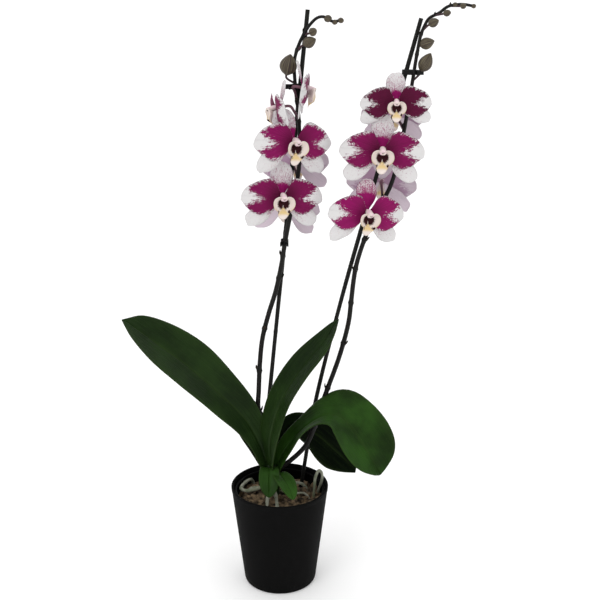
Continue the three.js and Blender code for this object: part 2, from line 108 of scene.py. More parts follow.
STAKE_PATHS = {
    "left": [(-35, 26, 40), (0, 23, 390), (36, 20, 745)],
    "right": [(15, 30, 40), (28, 30, 118), (47, 30, 241), (80, 30, 385), (119, 30, 535), (171, 30, 735)],
}

SPIKE_PATHS = {
    "left": [
        (-12, 9, 156), (-17, 14, 176), (-24, 20, 205), (-29, 23, 240), (-28, 23, 261), (-26, 21, 300),
        (-22, 18, 337), (-14, 15, 370), (-4, 14.5, 403), (3, 15.5, 436), (7.5, 16.5, 463), (12.5, 17, 490),
        (25, 17, 557), (25, 14, 619), (21, 17, 655), (20, 18, 687), (25, 16, 705), (32, 13, 719),
        (39, 12, 729), (47, 8, 736), (54, 6, 737), (64, 4, 732), (74, 3, 733),
    ],
    "right": [
        (-6, 8, 154), (14, 12, 167), (32, 18, 183), (40, 20, 197), (59, 20, 256), (78, 20, 313),
        (89, 20, 359), (92, 21, 388), (97, 22, 430), (107, 24, 465), (121, 25, 500), (138, 25, 533),
        (147, 25, 565), (153, 25, 600), (159, 25, 640), (162, 25, 663), (166, 25, 693), (170, 25, 716),
        (173, 25, 724), (179, 24, 735), (190, 22, 741), (199, 19, 748), (205, 17, 750), (217, 15, 751),
        (229, 12, 749),
    ],
}
# Heights at which a spike swells and carries a small dry bract.
SPIKE_JOINTS = {
    "left": (232, 292, 352, 418, 446, 512, 578, 616, 640, 698, 718),
    "right": (212, 268, 330, 384, 428, 466, 515, 562, 622, 694, 716),
}

def flower(hub, azimuth, span, start, nod=4, roll=0, wedge=26, margin=3, deep=0.4, dorsal=0, spread=3,
           stain=15):
    """Where a flower sits, how it is turned and how it is coloured.

    hub, azimuth, nod, roll: its middle and the way it faces, in degrees
    span, start: its width, and the height at which its stalk leaves the spike
    wedge, margin: where the white of a petal starts, and the width of its white margin
    deep, stain: depth of the magenta, and how far it reaches up the upper sepal
    dorsal, spread: turn of the upper sepal and of the side ones, in degrees
    """
    return dict(locals())


BLOOMS = {
    "left": [
        flower((6, -12, 530), azimuth=12, roll=-2, span=99, start=512, wedge=27, margin=0.8, deep=0.5),
        flower((20, -12, 596), azimuth=25, nod=3, roll=-4, span=100, start=578, wedge=27, margin=2.2,
               deep=0.3,
               dorsal=26),
        flower((0, 0, 633), azimuth=-78, nod=6, span=82, start=616, deep=0.5, spread=30),
        flower((33, 0, 656), azimuth=86, nod=6, span=82, start=640, deep=0.5),
        flower((9, 50, 507), azimuth=176, roll=6, span=86, start=490),
        flower((20, 48, 562), azimuth=165, roll=-8, span=88, start=545),
    ],
    "right": [
        flower((109, -8, 509), azimuth=18, nod=5, roll=-6, span=98, start=490, wedge=27, margin=0.2,
               deep=0.15,
               stain=24),
        flower((125, -14, 586), azimuth=0, roll=-2, span=100, start=562, margin=0.8, deep=0.45),
        flower((140, -12, 642), azimuth=0, roll=1, span=83, start=622, wedge=30, margin=1.2, deep=0.95,
               spread=15),
        flower((131, 56, 536), azimuth=170, roll=5, span=88, start=515),
        flower((144, 56, 621), azimuth=168, span=80, start=604),
    ],
}

BUDS = {
    "left": [
        dict(centre=(13, 14, 682), points=(0.2, -0.2, 1), length=25, width=21, start=659),
        dict(centre=(38, 9, 708), points=(0.8, -0.3, 0.35), length=17, width=14, start=698),
        dict(centre=(42, 4, 720), points=(0.5, -0.7, 0.2), length=12, width=10, start=716),
    ],
    "right": [
        dict(centre=(177, 24, 684), points=(0.45, -0.1, 0.9), length=24, width=17, start=662),
        dict(centre=(178, 24, 706), points=(0.95, -0.1, 0.3), length=18, width=14.5, start=694),
        dict(centre=(184, 17, 730), points=(0.6, -0.6, 0.3), length=15, width=11, start=720),
        dict(centre=(199, 13, 741), points=(0.6, -0.7, 0.1), length=11, width=8, start=738),
        dict(centre=(217, 9, 749), points=(0.5, -0.8, 0), length=9, width=7, start=749),
    ],
}
TIP_BUDS = {
    "left": [(59, 5, 735, 4.2), (67, 4, 731, 3), (74, 3, 733, 3.2)],
    "right": [(208, 16, 750.5, 2.8), (229, 12, 749, 2.6)],
}

# Each leaf: the way it heads, and stations of x, y, z, half width and roll in degrees. Some leaves name their
# material: a brighter copy with painted light for the leaves that catch the light, a darker copy with painted
# shade for the leaves in shadow; `channel` says how deep its groove is.
LEAVES = {
    "leaf_big_left": dict(heading=(-1, 0), stations=[
        (-14, 0, 158, 11, -50), (-26, 0, 196, 14, -60), (-45, 2, 231, 23, -52), (-77, 3, 265, 34, -36),
        (-118, 3, 304, 41, -28), (-156, 2, 335, 36, -26), (-181, 1, 355, 23, -24), (-198, 0, 367, 5, -22)]),
    "leaf_upright": dict(heading=(1, 0), stations=[
        (-12, -4, 160, 12, 20), (-13, -9, 198, 20, 30), (-6, -14, 238, 23, 34), (6, -19, 272, 24, 32),
        (29, -22, 311, 23, 30), (56, -25, 346, 17, 30), (74, -26, 377, 4, 30)]),
    "leaf_arching_right": dict(heading=(0.95, -0.3), tone="leaf_young", channel=0.34, stations=[
        (-6, -4, 160, 10, 60), (12, -8, 197, 14, 50), (35, -10, 226, 18, 25), (60, -10, 242, 28, 20),
        (78, -12, 243, 39, 20), (93, -17, 231, 42, 24), (108, -27, 212, 42, 28), (121, -37, 193, 34, 30),
        (131, -45, 175, 12, 30)]),
    "leaf_rear_right": dict(heading=(0.95, 0.3), tone="leaf_shade", stations=[
        (-5, 10, 152, 9, 30), (2, 24, 188, 12, 50), (16, 38, 208, 14, 55), (34, 50, 197, 22, 55),
        (54, 58, 181, 33, 55), (74, 60, 161, 34, 55), (92, 58, 143, 22, 55), (104, 55, 128, 4, 55)]),
    "leaf_low_left": dict(heading=(-1, 0.1), tone="leaf_shade", stations=[
        (-16, 12, 148, 8, -30), (-28, 17, 184, 17, -42), (-40, 21, 214, 23, -45), (-55, 25, 245, 17, -45),
        (-66, 27, 264, 4, -45)]),
    "leaf_front_small": dict(heading=(0, -1), tone="leaf_young", stations=[
        (-12, -1, 162, 7, 0), (-13, -14, 167, 12, 0), (-13, -25, 158, 13.5, 0), (-13, -33, 147, 10, 0),
        (-13, -38, 139, 3, 0)]),
    "leaf_front_right_small": dict(heading=(0.45, -0.89), tone="leaf_young", stations=[
        (-9, -2, 152, 7, 0), (1, -20, 161, 11, 0), (9, -36, 158, 12.5, 0), (15, -47, 151, 9, 0),
        (18.5, -54, 144, 3, 0)]),
}

ROOTS = {
    "root_left_loop": dict(size=1.0, path=[
        (-14, 4, 136), (-28, 1, 131), (-45, 0, 128), (-52, 8, 127), (-49, 22, 127), (-40, 38, 125),
        (-35, 44, 110)]),
    "root_left_short": dict(size=0.9, path=[(-14, 7, 128), (-26, 9, 128), (-40, 12, 124), (-46, 14, 110)]),
    "root_right_arch": dict(size=0.8, path=[
        (45, 4, 108), (46, 3, 130), (48, 3, 148), (52, 4, 156), (56, 6, 151), (56, 9, 138), (52, 14, 122),
        (49, 18, 108)]),
    "root_front_left": dict(size=1.0, path=[
        (-12, -2, 142), (-14, -16, 138), (-16, -32, 124), (-16, -36, 110)]),
    "root_front_right": dict(size=1.0, path=[(-8, -2, 136), (-6, -14, 133), (-3, -30, 123), (-3, -34, 110)]),
    "root_rear_right": dict(size=0.9, path=[(-6, 8, 134), (12, 15, 132), (30, 19, 128), (41, 21, 110)]),
    "root_thin_right": dict(size=0.6, path=[(-3, 2, 128), (16, -6, 127), (34, -3, 125), (44, -9, 110)]),
}

BARK_CHIPS = [
    dict(turn=20, length=17, width=11, height=6),
    dict(turn=-35, length=13, width=9, height=5),
    dict(turn=60, length=12, width=9, height=6),
    dict(turn=80, length=13, width=9, height=6),
]
CLIPS = {"clip_left_lower": ("left", 463), "clip_left_upper": ("left", 655), "clip_right": ("right", 672)}

# Tepal outlines of a flower 100 wide, from the hub outwards: one edge, then the other.
PETAL_UPPER = [
    (1.5, 1), (5, 8), (8.5, 15.5), (12, 20), (19, 21.5), (31, 17.5), (42.5, 10.8), (49.5, 2), (51, -4)]
PETAL_LOWER = [(1.5, -2), (7, -11), (14, -19.5), (26, -24.6), (36, -21), (44.3, -14.5), (49.5, -9), (51, -5)]
DORSAL_RIGHT = [(2, 1), (7, 7), (11.6, 14), (14.2, 22), (12, 31), (6, 36.8), (0.6, 37.8)]
DORSAL_LEFT = [(-2, 1), (-7, 7), (-11.6, 14), (-14.2, 22), (-12, 31), (-6, 36.8), (-0.6, 37.8)]
LATERAL_OUTER = [(3, -2), (10, -6), (20, -10), (30, -15), (38, -22), (43, -31), (42, -37.5), (40.5, -39.5)]
LATERAL_INNER = [(2, -4), (5, -12), (9, -21), (16, -32), (24, -39.5), (32, -42), (38, -41.5), (40, -40.2)]
# How far the lip reaches at each angle round its middle, in degrees.
LIP_REACH = [
    (90, 5), (60, 13), (30, 15.5), (0, 15.5), (-30, 14.5), (-45, 13), (-58, 14), (-70, 18), (-80, 20.5),
    (-90, 22)]


# ---------------------------------------------------------------- colours
def srgb(red, green, blue):
    """A linear colour from 0-255 values as a screen shows them."""
    channels = [value / 255 for value in (red, green, blue)]
    return tuple(c / 12.92 if c <= 0.04045 else ((c + 0.055) / 1.055) ** 2.4 for c in channels) + (1.0,)


COLOURS = {
    "petal_magenta": srgb(142, 11, 92),
    "petal_deep": srgb(76, 4, 42),
    "petal_white": srgb(210, 208, 208),
    "petal_back": srgb(208, 194, 204),
    "petal_back_deep": srgb(168, 132, 160),
    "lip_white": srgb(228, 216, 208),
    "lip_yellow": srgb(224, 198, 142),
    # Colour of the dark throat, also used for the painted shadow in the lip's notches.
    "lip_dark": srgb(46, 4, 14),
    "column": srgb(226, 196, 208),
    "leaf_top": srgb(30, 50, 18),
    "leaf_dark": srgb(17, 32, 10),
    # Brighter greens with painted light, for the leaves that catch the light.
    "leaf_young": srgb(41, 75, 22),
    "leaf_painted_light_dark": srgb(19, 38, 8),
    # Near-black greens with painted shade, for the leaves that lie in shadow.
    "leaf_shade": srgb(4, 12, 4),
    "leaf_painted_shade_dark": srgb(2, 7, 2),
    "leaf_rib": srgb(56, 76, 34),
    "leaf_under": srgb(20, 32, 12),
    "spike_green": srgb(16, 16, 12),
    "spike_purple": srgb(13, 9, 10),
    "pedicel": srgb(120, 84, 96),
    "bract": srgb(44, 36, 26),
    "bud_green": srgb(94, 86, 64),
    "bud_purple": srgb(44, 30, 30),
    "stake": srgb(9, 10, 9),
    "clip": srgb(9, 9, 9),
    "root": srgb(112, 118, 100),
    "root_silver": srgb(160, 160, 146),
    "root_green": srgb(84, 96, 52),
    "bark": srgb(78, 58, 42),
    "bark_light": srgb(132, 112, 86),
    "bark_dark": srgb(24, 17, 13),
    "pot": srgb(8, 8, 8),
    "nursery": srgb(7, 7, 7),
    "floor": srgb(250, 250, 250),
}


# ---------------------------------------------------------------- curves and meshes
def smooth_path(points, count):
    """Rows along a centripetal Catmull-Rom curve through the given rows; x, y and z come first."""
    points = np.asarray(points, float)
    rows = np.vstack([2 * points[0] - points[1], points, 2 * points[-1] - points[-2]])
    gaps = np.sqrt(np.linalg.norm(np.diff(rows[:, :3], axis=0), axis=1)) + 1e-9
    out = []
    for t in np.linspace(0, len(points) - 1, count):
        i = min(int(t), len(points) - 2)
        u = t - i
        p0, p1, p2, p3 = rows[i : i + 4]
        d0, d1, d2 = gaps[i : i + 3]
        m1 = ((p1 - p0) / d0 - (p2 - p0) / (d0 + d1) + (p2 - p1) / d1) * d1
        m2 = ((p2 - p1) / d1 - (p3 - p1) / (d1 + d2) + (p3 - p2) / d2) * d1
        out.append((2 * u**3 - 3 * u**2 + 1) * p1 + (u**3 - 2 * u**2 + u) * m1
                   + (3 * u**2 - 2 * u**3) * p2 + (u**3 - u**2) * m2)
    return np.array(out)


def evenly(points, count):
    """The curve through `points`, as rows that are equally far apart."""
    fine = smooth_path(points, 12 * len(points))
    steps = np.concatenate([[0], np.cumsum(np.linalg.norm(np.diff(fine[:, :3], axis=0), axis=1))])
    wanted = np.linspace(0, steps[-1], count)
    return np.stack([np.interp(wanted, steps, column) for column in fine.T], axis=1)


def at_height(path, height):
    """The point where a rising path passes a height."""
    fine = smooth_path(path, 30 * len(path))
    above = np.argmax(fine[:, 2] >= height) if fine[:, 2].max() >= height else fine[:, 2].argmax()
    return fine[above]


def unit(vectors):
    return vectors / np.maximum(np.linalg.norm(vectors, axis=-1, keepdims=True), 1e-9)


def spread(value, count):
    return np.full(count, float(value)) if np.isscalar(value) else np.asarray(value, float)


class Part:
    """Points in millimetres, faces, a material slot and two sets of three values for the shader."""

    def __init__(self, points, faces, pattern=None, marks=None, material=0):
        self.points = np.asarray(points, float)
        self.faces = faces
        size = (len(self.points), 3)
        self.pattern = np.zeros(size) if pattern is None else np.asarray(pattern, float)
        self.marks = np.zeros(size) if marks is None else np.asarray(marks, float)
        self.material = material

    def moved(self, matrix):
        turned = self.points @ np.array(matrix.to_3x3()).T
        self.points = turned + np.array(matrix.translation)
        return self


def shell(grid, thickness, pattern, marks, face, material=0, under=None):
    """A closed sheet round a grid of middle points, thick in the middle and thin at its edge.

    `face` is the side that counts as its upper one. The second mark says how far up a point is,
    and `under` lifts the lower skin's points along the normal, for a rib.
    """
    rows, columns = grid.shape[:2]
    normals = unit(np.cross(np.gradient(grid, axis=0), np.gradient(grid, axis=1)))
    if np.sum(normals @ np.asarray(face, float)) < 0:
        grid, thickness = grid[:, ::-1], thickness[:, ::-1]
        pattern, marks, normals = pattern[:, ::-1], marks[:, ::-1], -normals[:, ::-1]
        under = None if under is None else under[:, ::-1]
    border = np.ones((rows, columns), bool)
    border[1:-1, 1:-1] = False
    half = (thickness / 2)[..., None] * normals
    lower = half if under is None else half + under[..., None] * normals
    upper_ids = np.arange(rows * columns).reshape(rows, columns)
    lower_ids = upper_ids.copy()
    inner = ~border
    lower_ids[inner] = rows * columns + np.arange(inner.sum())
    top = np.where(border[..., None], grid, grid + half).reshape(-1, 3)
    points = np.vstack([top, (grid - lower)[inner]])
    top_marks, low_marks = marks.copy(), marks.copy()
    top_marks[..., 1] = np.where(border, 0.5, 1)
    low_marks[..., 1] = 0
    faces = []
    for i in range(rows - 1):
        for j in range(columns - 1):
            a, b, c, d = (i, j), (i + 1, j), (i + 1, j + 1), (i, j + 1)
            faces.append([int(upper_ids[k]) for k in (a, b, c, d)])
            faces.append([int(lower_ids[k]) for k in (d, c, b, a)])
    return Part(points, faces, np.vstack([pattern.reshape(-1, 3), pattern[inner]]),
                np.vstack([top_marks.reshape(-1, 3), low_marks[inner]]), material)


def polar_shell(rings, thickness, pattern, marks, material=0):
    """A closed sheet round rings of points, ring 0 being its middle, all turning the same way."""
    count, around = rings.shape[:2]
    across = np.roll(rings, -1, axis=1) - np.roll(rings, 1, axis=1)
    normals = unit(np.cross(np.gradient(rings, axis=0), across))
    normals[0] = unit(normals[1].mean(axis=0))
    half = (thickness / 2)[:, None, None] * normals
    half[-1] = 0
    top, low = rings + half, rings - half
    points = [top[0, 0]] + list(top[1:].reshape(-1, 3)) + [low[0, 0]] + list(low[1:-1].reshape(-1, 3))

    def top_id(i, j):
        return 1 + (i - 1) * around + j % around

    def low_id(i, j):
        return top_id(i, j) if i == count - 1 else 2 + (count - 1) * around + (i - 1) * around + j % around

    pole = 1 + (count - 1) * around
    faces = []
    for j in range(around):
        faces.append([0, top_id(1, j), top_id(1, j + 1)])
        faces.append([pole, low_id(1, j + 1), low_id(1, j)])
        for i in range(1, count - 1):
            faces.append([top_id(i, j), top_id(i + 1, j), top_id(i + 1, j + 1), top_id(i, j + 1)])
            faces.append([low_id(i, j + 1), low_id(i + 1, j + 1), low_id(i + 1, j), low_id(i, j)])

    def both(values, upper, lower):
        a, b = values.copy(), values.copy()
        if upper is not None:
            a[..., 1], b[..., 1] = upper, lower
        return np.vstack([a[:1, 0], a[1:].reshape(-1, 3), b[:1, 0], b[1:-1].reshape(-1, 3)])

    return Part(np.array(points), faces, both(pattern, None, None), both(marks, 1, 0), material)


def barrel_faces(rings, around):
    """Faces of a closed body of rings; the first and the last point are its poles."""
    faces = []
    last = 1 + (rings - 1) * around
    for j in range(around):
        k = (j + 1) % around
        faces.append([0, 1 + k, 1 + j])
        for i in range(rings - 1):
            a, b = 1 + i * around, 1 + (i + 1) * around
            faces.append([a + j, a + k, b + k, b + j])
        faces.append([last + j, last + k, last + around])
    return faces


def tube(path, radii, sides=16, material=0, marks=(0, 1, 0), lobes=0, lobe_depth=0.0):
    """A closed tube along points, with a radius at each; with lobes, its section has seams."""
    path = np.asarray(path, float)
    radii = spread(radii, len(path))
    tangents = unit(np.gradient(path, axis=0))
    side = np.cross(tangents[0], (0, 0, 1) if abs(tangents[0][2]) < 0.9 else (1, 0, 0))
    points, pattern = [path[0]], [(0, 0, 0)]
    lengths = np.concatenate([[0], np.cumsum(np.linalg.norm(np.diff(path, axis=0), axis=1))])
    angles = np.linspace(0, 2 * math.pi, sides, endpoint=False)
    for i, (centre, tangent) in enumerate(zip(path, tangents)):
        side = unit(side - tangent * (side @ tangent))
        other = np.cross(tangent, side)
        for angle in angles:
            radius = radii[i] * (1 - lobe_depth * (1 - abs(math.sin(lobes * angle / 2))) ** 3 if lobes else 1)
            points.append(centre + radius * (math.cos(angle) * side + math.sin(angle) * other))
            pattern.append((angle / (2 * math.pi), lengths[i], 0))
    points.append(path[-1])
    pattern.append((0, lengths[-1], 0))
    faces = barrel_faces(len(path), sides)
    return Part(points, faces, pattern, np.tile(marks, (len(points), 1)), material)


def lathe(profile, segments, material=0):
    """A closed turned body; the profile runs from the axis, round the body and back to the axis."""
    profile = np.asarray(profile, float)
    angles = np.linspace(0, 2 * math.pi, segments, endpoint=False)
    ring = np.stack([np.cos(angles), np.sin(angles)], axis=1)
    middle = profile[1:-1]
    points = [(0, 0, profile[0][1])]
    for radius, height in middle:
        points += [(radius * x, radius * y, height) for x, y in ring]
    points.append((0, 0, profile[-1][1]))
    return Part(points, barrel_faces(len(middle), segments), material=material)


def arc(centre, radius, start, end, steps=6):
    """Profile points round a corner, from one angle to another in degrees."""
    angles = np.radians(np.linspace(start, end, steps))
    return [(centre[0] + radius * math.cos(a), centre[1] + radius * math.sin(a)) for a in angles]


def new_object(name, parts, materials):
    """One object of several parts, in metres, with its shader values stored on its points."""
    points, faces, material_ids = [], [], []
    for part in parts:
        base = sum(len(p) for p in points)
        points.append(part.points)
        faces += [[base + i for i in f] for f in part.faces]
        material_ids += [part.material] * len(part.faces)
    mesh = bpy.data.meshes.new(name)
    mesh.from_pydata((np.vstack(points) * MM).tolist(), [], faces)
    mesh.polygons.foreach_set("material_index", material_ids)
    mesh.polygons.foreach_set("use_smooth", [True] * len(faces))
    for key in ("pattern", "marks"):
        values = mesh.attributes.new(key, "FLOAT_VECTOR", "POINT")
        values.data.foreach_set("vector", np.vstack([getattr(p, key) for p in parts]).ravel())
    for material in materials:
        mesh.materials.append(material)
    mesh.update()
    obj = bpy.data.objects.new(name, mesh)
    bpy.context.scene.collection.objects.link(obj)
    return obj


def outward(mesh):
    """Turns the faces of every closed part outward."""
    work = bmesh.new()
    work.from_mesh(mesh)
    if work.calc_volume(signed=True) < 0:
        bmesh.ops.reverse_faces(work, faces=work.faces)
    work.to_mesh(mesh)
    work.free()


def plain(obj):
    """Turns what an object's modifiers make into its own mesh."""
    graph = bpy.context.evaluated_depsgraph_get()
    seen = obj.evaluated_get(graph)
    mesh = bpy.data.meshes.new_from_object(seen, preserve_all_data_layers=True, depsgraph=graph)
    if not mesh.polygons:
        raise RuntimeError(f"{obj.name}: its modifiers made no faces")
    obj.modifiers.clear()
    obj.data = mesh
    outward(mesh)
    return obj


def centre_of(lowest, highest):
    return (Vector(lowest) + Vector(highest)) / 2


def seat(obj, node, *others):
    """Moves the points of an object, and of others with it, to centre their box on the CAD node's."""
    points = np.array([v.co for o in (obj, *others) for v in o.data.vertices])
    shift = centre_of(*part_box(node)) - centre_of(points.min(axis=0), points.max(axis=0))
    for o in (obj, *others):
        o.data.transform(Matrix.Translation(shift))
    return shift


def check_place(obj, node, within=8):
    """Stops if an object's box isn't centred on the CAD node's to within some millimetres."""
    points = np.array([v.co for v in obj.data.vertices])
    shift = centre_of(*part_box(node)) - centre_of(points.min(axis=0), points.max(axis=0))
    if shift.length > within * MM:
        raise RuntimeError(f"{obj.name} is {shift.length / MM:.1f} mm away from {node}")


def finish(obj, node, slot):
    """Attaches an object to the root body and hides the CAD node it stands for."""
    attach(obj, "root")
    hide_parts(node)
    return obj


# ---------------------------------------------------------------- shader building
class Shade:
    """Short calls that add and link the nodes of one tree."""

    def __init__(self, tree):
        self.tree = tree

    def node(self, kind, inputs=(), **settings):
        node = self.tree.nodes.new(kind)
        for key, value in settings.items():
            setattr(node, key, value)
        for key, value in dict(inputs).items():
            self.feed(node.inputs[key], value)
        return node

    def feed(self, socket, value):
        if isinstance(value, bpy.types.NodeSocket):
            self.tree.links.new(value, socket)
        else:
            socket.default_value = value

    def math(self, operation, a, b=0.0, c=0.0, clamp=False):
        node = self.node("ShaderNodeMath", {0: a, 1: b, 2: c}, operation=operation, use_clamp=clamp)
        return node.outputs[0]

    def times(self, a, b):
        return self.math("MULTIPLY", a, b)

    def plus(self, a, b, clamp=False):
        return self.math("ADD", a, b, clamp=clamp)

    def minus(self, a, b):
        return self.math("SUBTRACT", a, b)

    def mix(self, factor, a, b):
        node = self.node("ShaderNodeMix", {0: factor, 6: a, 7: b}, data_type="RGBA")
        return node.outputs[2]

    def range(self, value, low, high, to_low=0.0, to_high=1.0):
        inputs = {"Value": value, "From Min": low, "From Max": high, "To Min": to_low, "To Max": to_high}
        return self.node("ShaderNodeMapRange", inputs, interpolation_type="SMOOTHSTEP").outputs[0]

    def noise(self, vector, scale, detail=2.0, roughness=0.5):
        inputs = {"Vector": vector, "Scale": scale, "Detail": detail, "Roughness": roughness}
        return self.node("ShaderNodeTexNoise", inputs).outputs["Fac"]

    def values(self, name):
        """An attribute's three values."""
        attribute = self.node("ShaderNodeAttribute", attribute_name=name)
        split = self.node("ShaderNodeSeparateXYZ", {0: attribute.outputs["Vector"]})
        return split.outputs[0], split.outputs[1], split.outputs[2]

    def vector(self, x, y, z):
        return self.node("ShaderNodeCombineXYZ", {0: x, 1: y, 2: z}).outputs[0]

    def place(self):
        return self.node("ShaderNodeTexCoord").outputs["Object"]


def group(name, inputs, outputs):
    """An empty shader node group; `inputs` and `outputs` map names to socket kinds."""
    tree = bpy.data.node_groups.new(name, "ShaderNodeTree")
    for key, kind in inputs.items():
        tree.interface.new_socket(key, in_out="INPUT", socket_type=kind)
    for key, kind in outputs.items():
        tree.interface.new_socket(key, in_out="OUTPUT", socket_type=kind)
    shade = Shade(tree)
    return shade, shade.node("NodeGroupInput"), shade.node("NodeGroupOutput")


FLOAT, VECTOR = "NodeSocketFloat", "NodeSocketVector"


def speckle_group():
    """Breaks the line where a field crosses zero into streaks that run outwards and fine dots."""
    shade, given, out = group(
        "speckled_edge",
        {"Angle": FLOAT, "Radius": FLOAT, "Seed": FLOAT, "Field": FLOAT, "Streaks": FLOAT, "Dots": FLOAT},
        {"Mask": FLOAT},
    )
    angle, radius, seed = given.outputs["Angle"], given.outputs["Radius"], given.outputs["Seed"]
    streaks = shade.noise(shade.vector(shade.times(angle, 9), shade.times(radius, 0.09), seed), 2.2, 3)
    dots = shade.noise(shade.vector(shade.times(angle, 16), shade.times(radius, 0.45), seed), 2.4, 3, 0.65)
    pushed = shade.times(shade.minus(streaks, 0.5), given.outputs["Streaks"])
    dotted = shade.times(shade.minus(dots, 0.5), given.outputs["Dots"])
    total = shade.plus(given.outputs["Field"], shade.plus(pushed, dotted))
    shade.feed(out.inputs["Mask"], shade.range(total, -0.35, 0.35))
    return shade.tree


def grain_group():
    """A fine bump and a slow change of shade, for anything grown or moulded."""
    shade, given, out = group(
        "grain",
        {"Place": VECTOR, "Fine": FLOAT, "Coarse": FLOAT, "Depth": FLOAT},
        {"Normal": VECTOR, "Shade": FLOAT},
    )
    fine = shade.noise(given.outputs["Place"], given.outputs["Fine"], 4, 0.6)
    coarse = shade.noise(given.outputs["Place"], given.outputs["Coarse"], 3)
    bump = shade.node("ShaderNodeBump", {"Height": fine, "Distance": given.outputs["Depth"], "Strength": 0.6})
    shade.feed(out.inputs["Normal"], bump.outputs[0])
    shade.feed(out.inputs["Shade"], shade.range(coarse, 0.3, 0.7))
    return shade.tree


def vein_group():
    """Fine lines that run along a blade: across and along in, a line value and a bump out."""
    shade, given, out = group(
        "veins",
        {"Along": FLOAT, "Across": FLOAT, "Seed": FLOAT, "Density": FLOAT, "Depth": FLOAT},
        {"Lines": FLOAT, "Normal": VECTOR},
    )
    across = shade.times(given.outputs["Across"], given.outputs["Density"])
    along = shade.times(given.outputs["Along"], 0.02)
    lines = shade.noise(shade.vector(across, along, given.outputs["Seed"]), 1.0, 2)
    lines = shade.range(lines, 0.35, 0.65)
    relief = {"Height": lines, "Distance": given.outputs["Depth"], "Strength": 0.5}
    bump = shade.node("ShaderNodeBump", relief)
    shade.feed(out.inputs["Lines"], lines)
    shade.feed(out.inputs["Normal"], bump.outputs[0])
    return shade.tree


def new_material(name, **constants):
    """A material with a Principled shader; returns it with its tree's helper and shader node."""
    material = bpy.data.materials.new(name)
    material.use_nodes = True
    shade = Shade(material.node_tree)
    shader = material.node_tree.nodes["Principled BSDF"]
    for key, value in constants.items():
        shader.inputs[key.replace("_", " ")].default_value = value
    return material, shade, shader


def use_group(shade, tree, inputs):
    """Places a node group and feeds its named inputs."""
    node = shade.tree.nodes.new("ShaderNodeGroup")
    node.node_tree = tree
    for key, value in inputs.items():
        shade.feed(node.inputs[key], value)
    return node


def bloom_material(name, groups, front, back, streaks, dots):
    """Two colours parted by a speckled line; marks hold the field, the upper side and the depth."""
    material, shade, shader = new_material(name, Roughness=0.6, Specular_IOR_Level=0.12)
    angle, radius, seed = shade.values("pattern")
    field, upper, deep = shade.values("marks")
    speckle = use_group(shade, groups["speckle"], {
        "Angle": angle, "Radius": radius, "Seed": seed, "Field": field, "Streaks": streaks, "Dots": dots})
    veins = use_group(shade, groups["veins"], {
        "Along": radius, "Across": angle, "Seed": seed, "Density": 26.0, "Depth": 0.0003})
    ground, ink, ink_deep = front
    heart = shade.plus(deep, shade.times(shade.range(radius, 30, 4), 0.45), clamp=True)
    inked = shade.mix(heart, COLOURS[ink], COLOURS[ink_deep])
    inked = shade.mix(shade.times(veins.outputs["Lines"], 0.22), inked, COLOURS[ink_deep])
    faced = shade.mix(speckle.outputs["Mask"], COLOURS[ground], inked)
    behind = shade.mix(shade.times(speckle.outputs["Mask"], 0.8), COLOURS[back[0]], COLOURS[back[1]])
    shade.feed(shader.inputs["Base Color"], shade.mix(shade.range(upper, 0.25, 0.45), behind, faced))
    shade.feed(shader.inputs["Normal"], veins.outputs["Normal"])
    return material


def lip_material():
    """Marks hold how dark a point of the lip is (its dark throat, and painted shadow in the notches), its
    upper side, and how yellow it is.
    """
    material, shade, shader = new_material("lip", Roughness=0.5, Specular_IOR_Level=0.12)
    angle, radius, seed = shade.values("pattern")
    dark, upper, yellow = shade.values("marks")
    wobble = shade.noise(shade.vector(shade.times(angle, 14), shade.times(radius, 0.15), seed), 2.0, 2)
    dark = shade.plus(dark, shade.times(shade.minus(wobble, 0.5), 1.3))
    dark = shade.times(dark, shade.range(upper, 0.25, 0.45))
    colour = shade.mix(shade.range(yellow, 0.15, 0.85), COLOURS["lip_white"], COLOURS["lip_yellow"])
    colour = shade.mix(shade.range(dark, 0.35, 0.6), colour, COLOURS["lip_dark"])
    shade.feed(shader.inputs["Base Color"], colour)
    return material


def leaf_material(name, groups, light, dark, under=0.65, specular=0.05):
    """Mottled green with veins; `under` is how far the lower side takes the paler underside colour."""
    material, shade, shader = new_material(name, Specular_IOR_Level=specular, Coat_Roughness=0.35)
    along, across, seed = shade.values("pattern")
    rib, upper, edge = shade.values("marks")
    veins = use_group(shade, groups["veins"], {
        "Along": along, "Across": across, "Seed": seed, "Density": 0.55, "Depth": 0.0005})
    mottle = shade.noise(shade.place(), 22, 3)
    top = shade.mix(shade.range(mottle, 0.3, 0.75), COLOURS[dark], COLOURS[light])
    top = shade.mix(shade.times(veins.outputs["Lines"], 0.07), top, COLOURS["leaf_rib"])
    top = shade.mix(shade.times(rib, 0.3), top, COLOURS["leaf_rib"])
    low = shade.mix(under, top, COLOURS["leaf_under"])
    colour = shade.mix(shade.range(upper, 0.35, 0.65), low, top)
    # A lighter line along the margin: partly the margin's own paler green, partly a painted highlight on the
    # rolled edge.
    shade.feed(shader.inputs["Base Color"], shade.mix(shade.times(edge, 0.3), colour, COLOURS["leaf_rib"]))
    shade.feed(shader.inputs["Roughness"], shade.range(mottle, 0.2, 0.8, 0.36, 0.5))
    shade.feed(shader.inputs["Coat Weight"], shade.times(upper, 0.04))
    shade.feed(shader.inputs["Normal"], veins.outputs["Normal"])
    return material


def grown_material(name, groups, dark, light, roughness, fine=900.0, coarse=90.0, depth=0.0004, ends=None):
    """Two shades mixed by a slow noise, with a fine bump; `ends` colours the end of a stalk."""
    material, shade, shader = new_material(name, Roughness=roughness, Specular_IOR_Level=0.2)
    grain = use_group(shade, groups["grain"], {
        "Place": shade.place(), "Fine": fine, "Coarse": coarse, "Depth": depth})
    colour = shade.mix(grain.outputs["Shade"], COLOURS[dark], COLOURS[light])
    if ends:
        amount = shade.node("ShaderNodeAttribute", attribute_name="tint").outputs["Fac"]
        colour = shade.mix(amount, colour, COLOURS[ends])
    shade.feed(shader.inputs["Base Color"], colour)
    shade.feed(shader.inputs["Normal"], grain.outputs["Normal"])
    return material


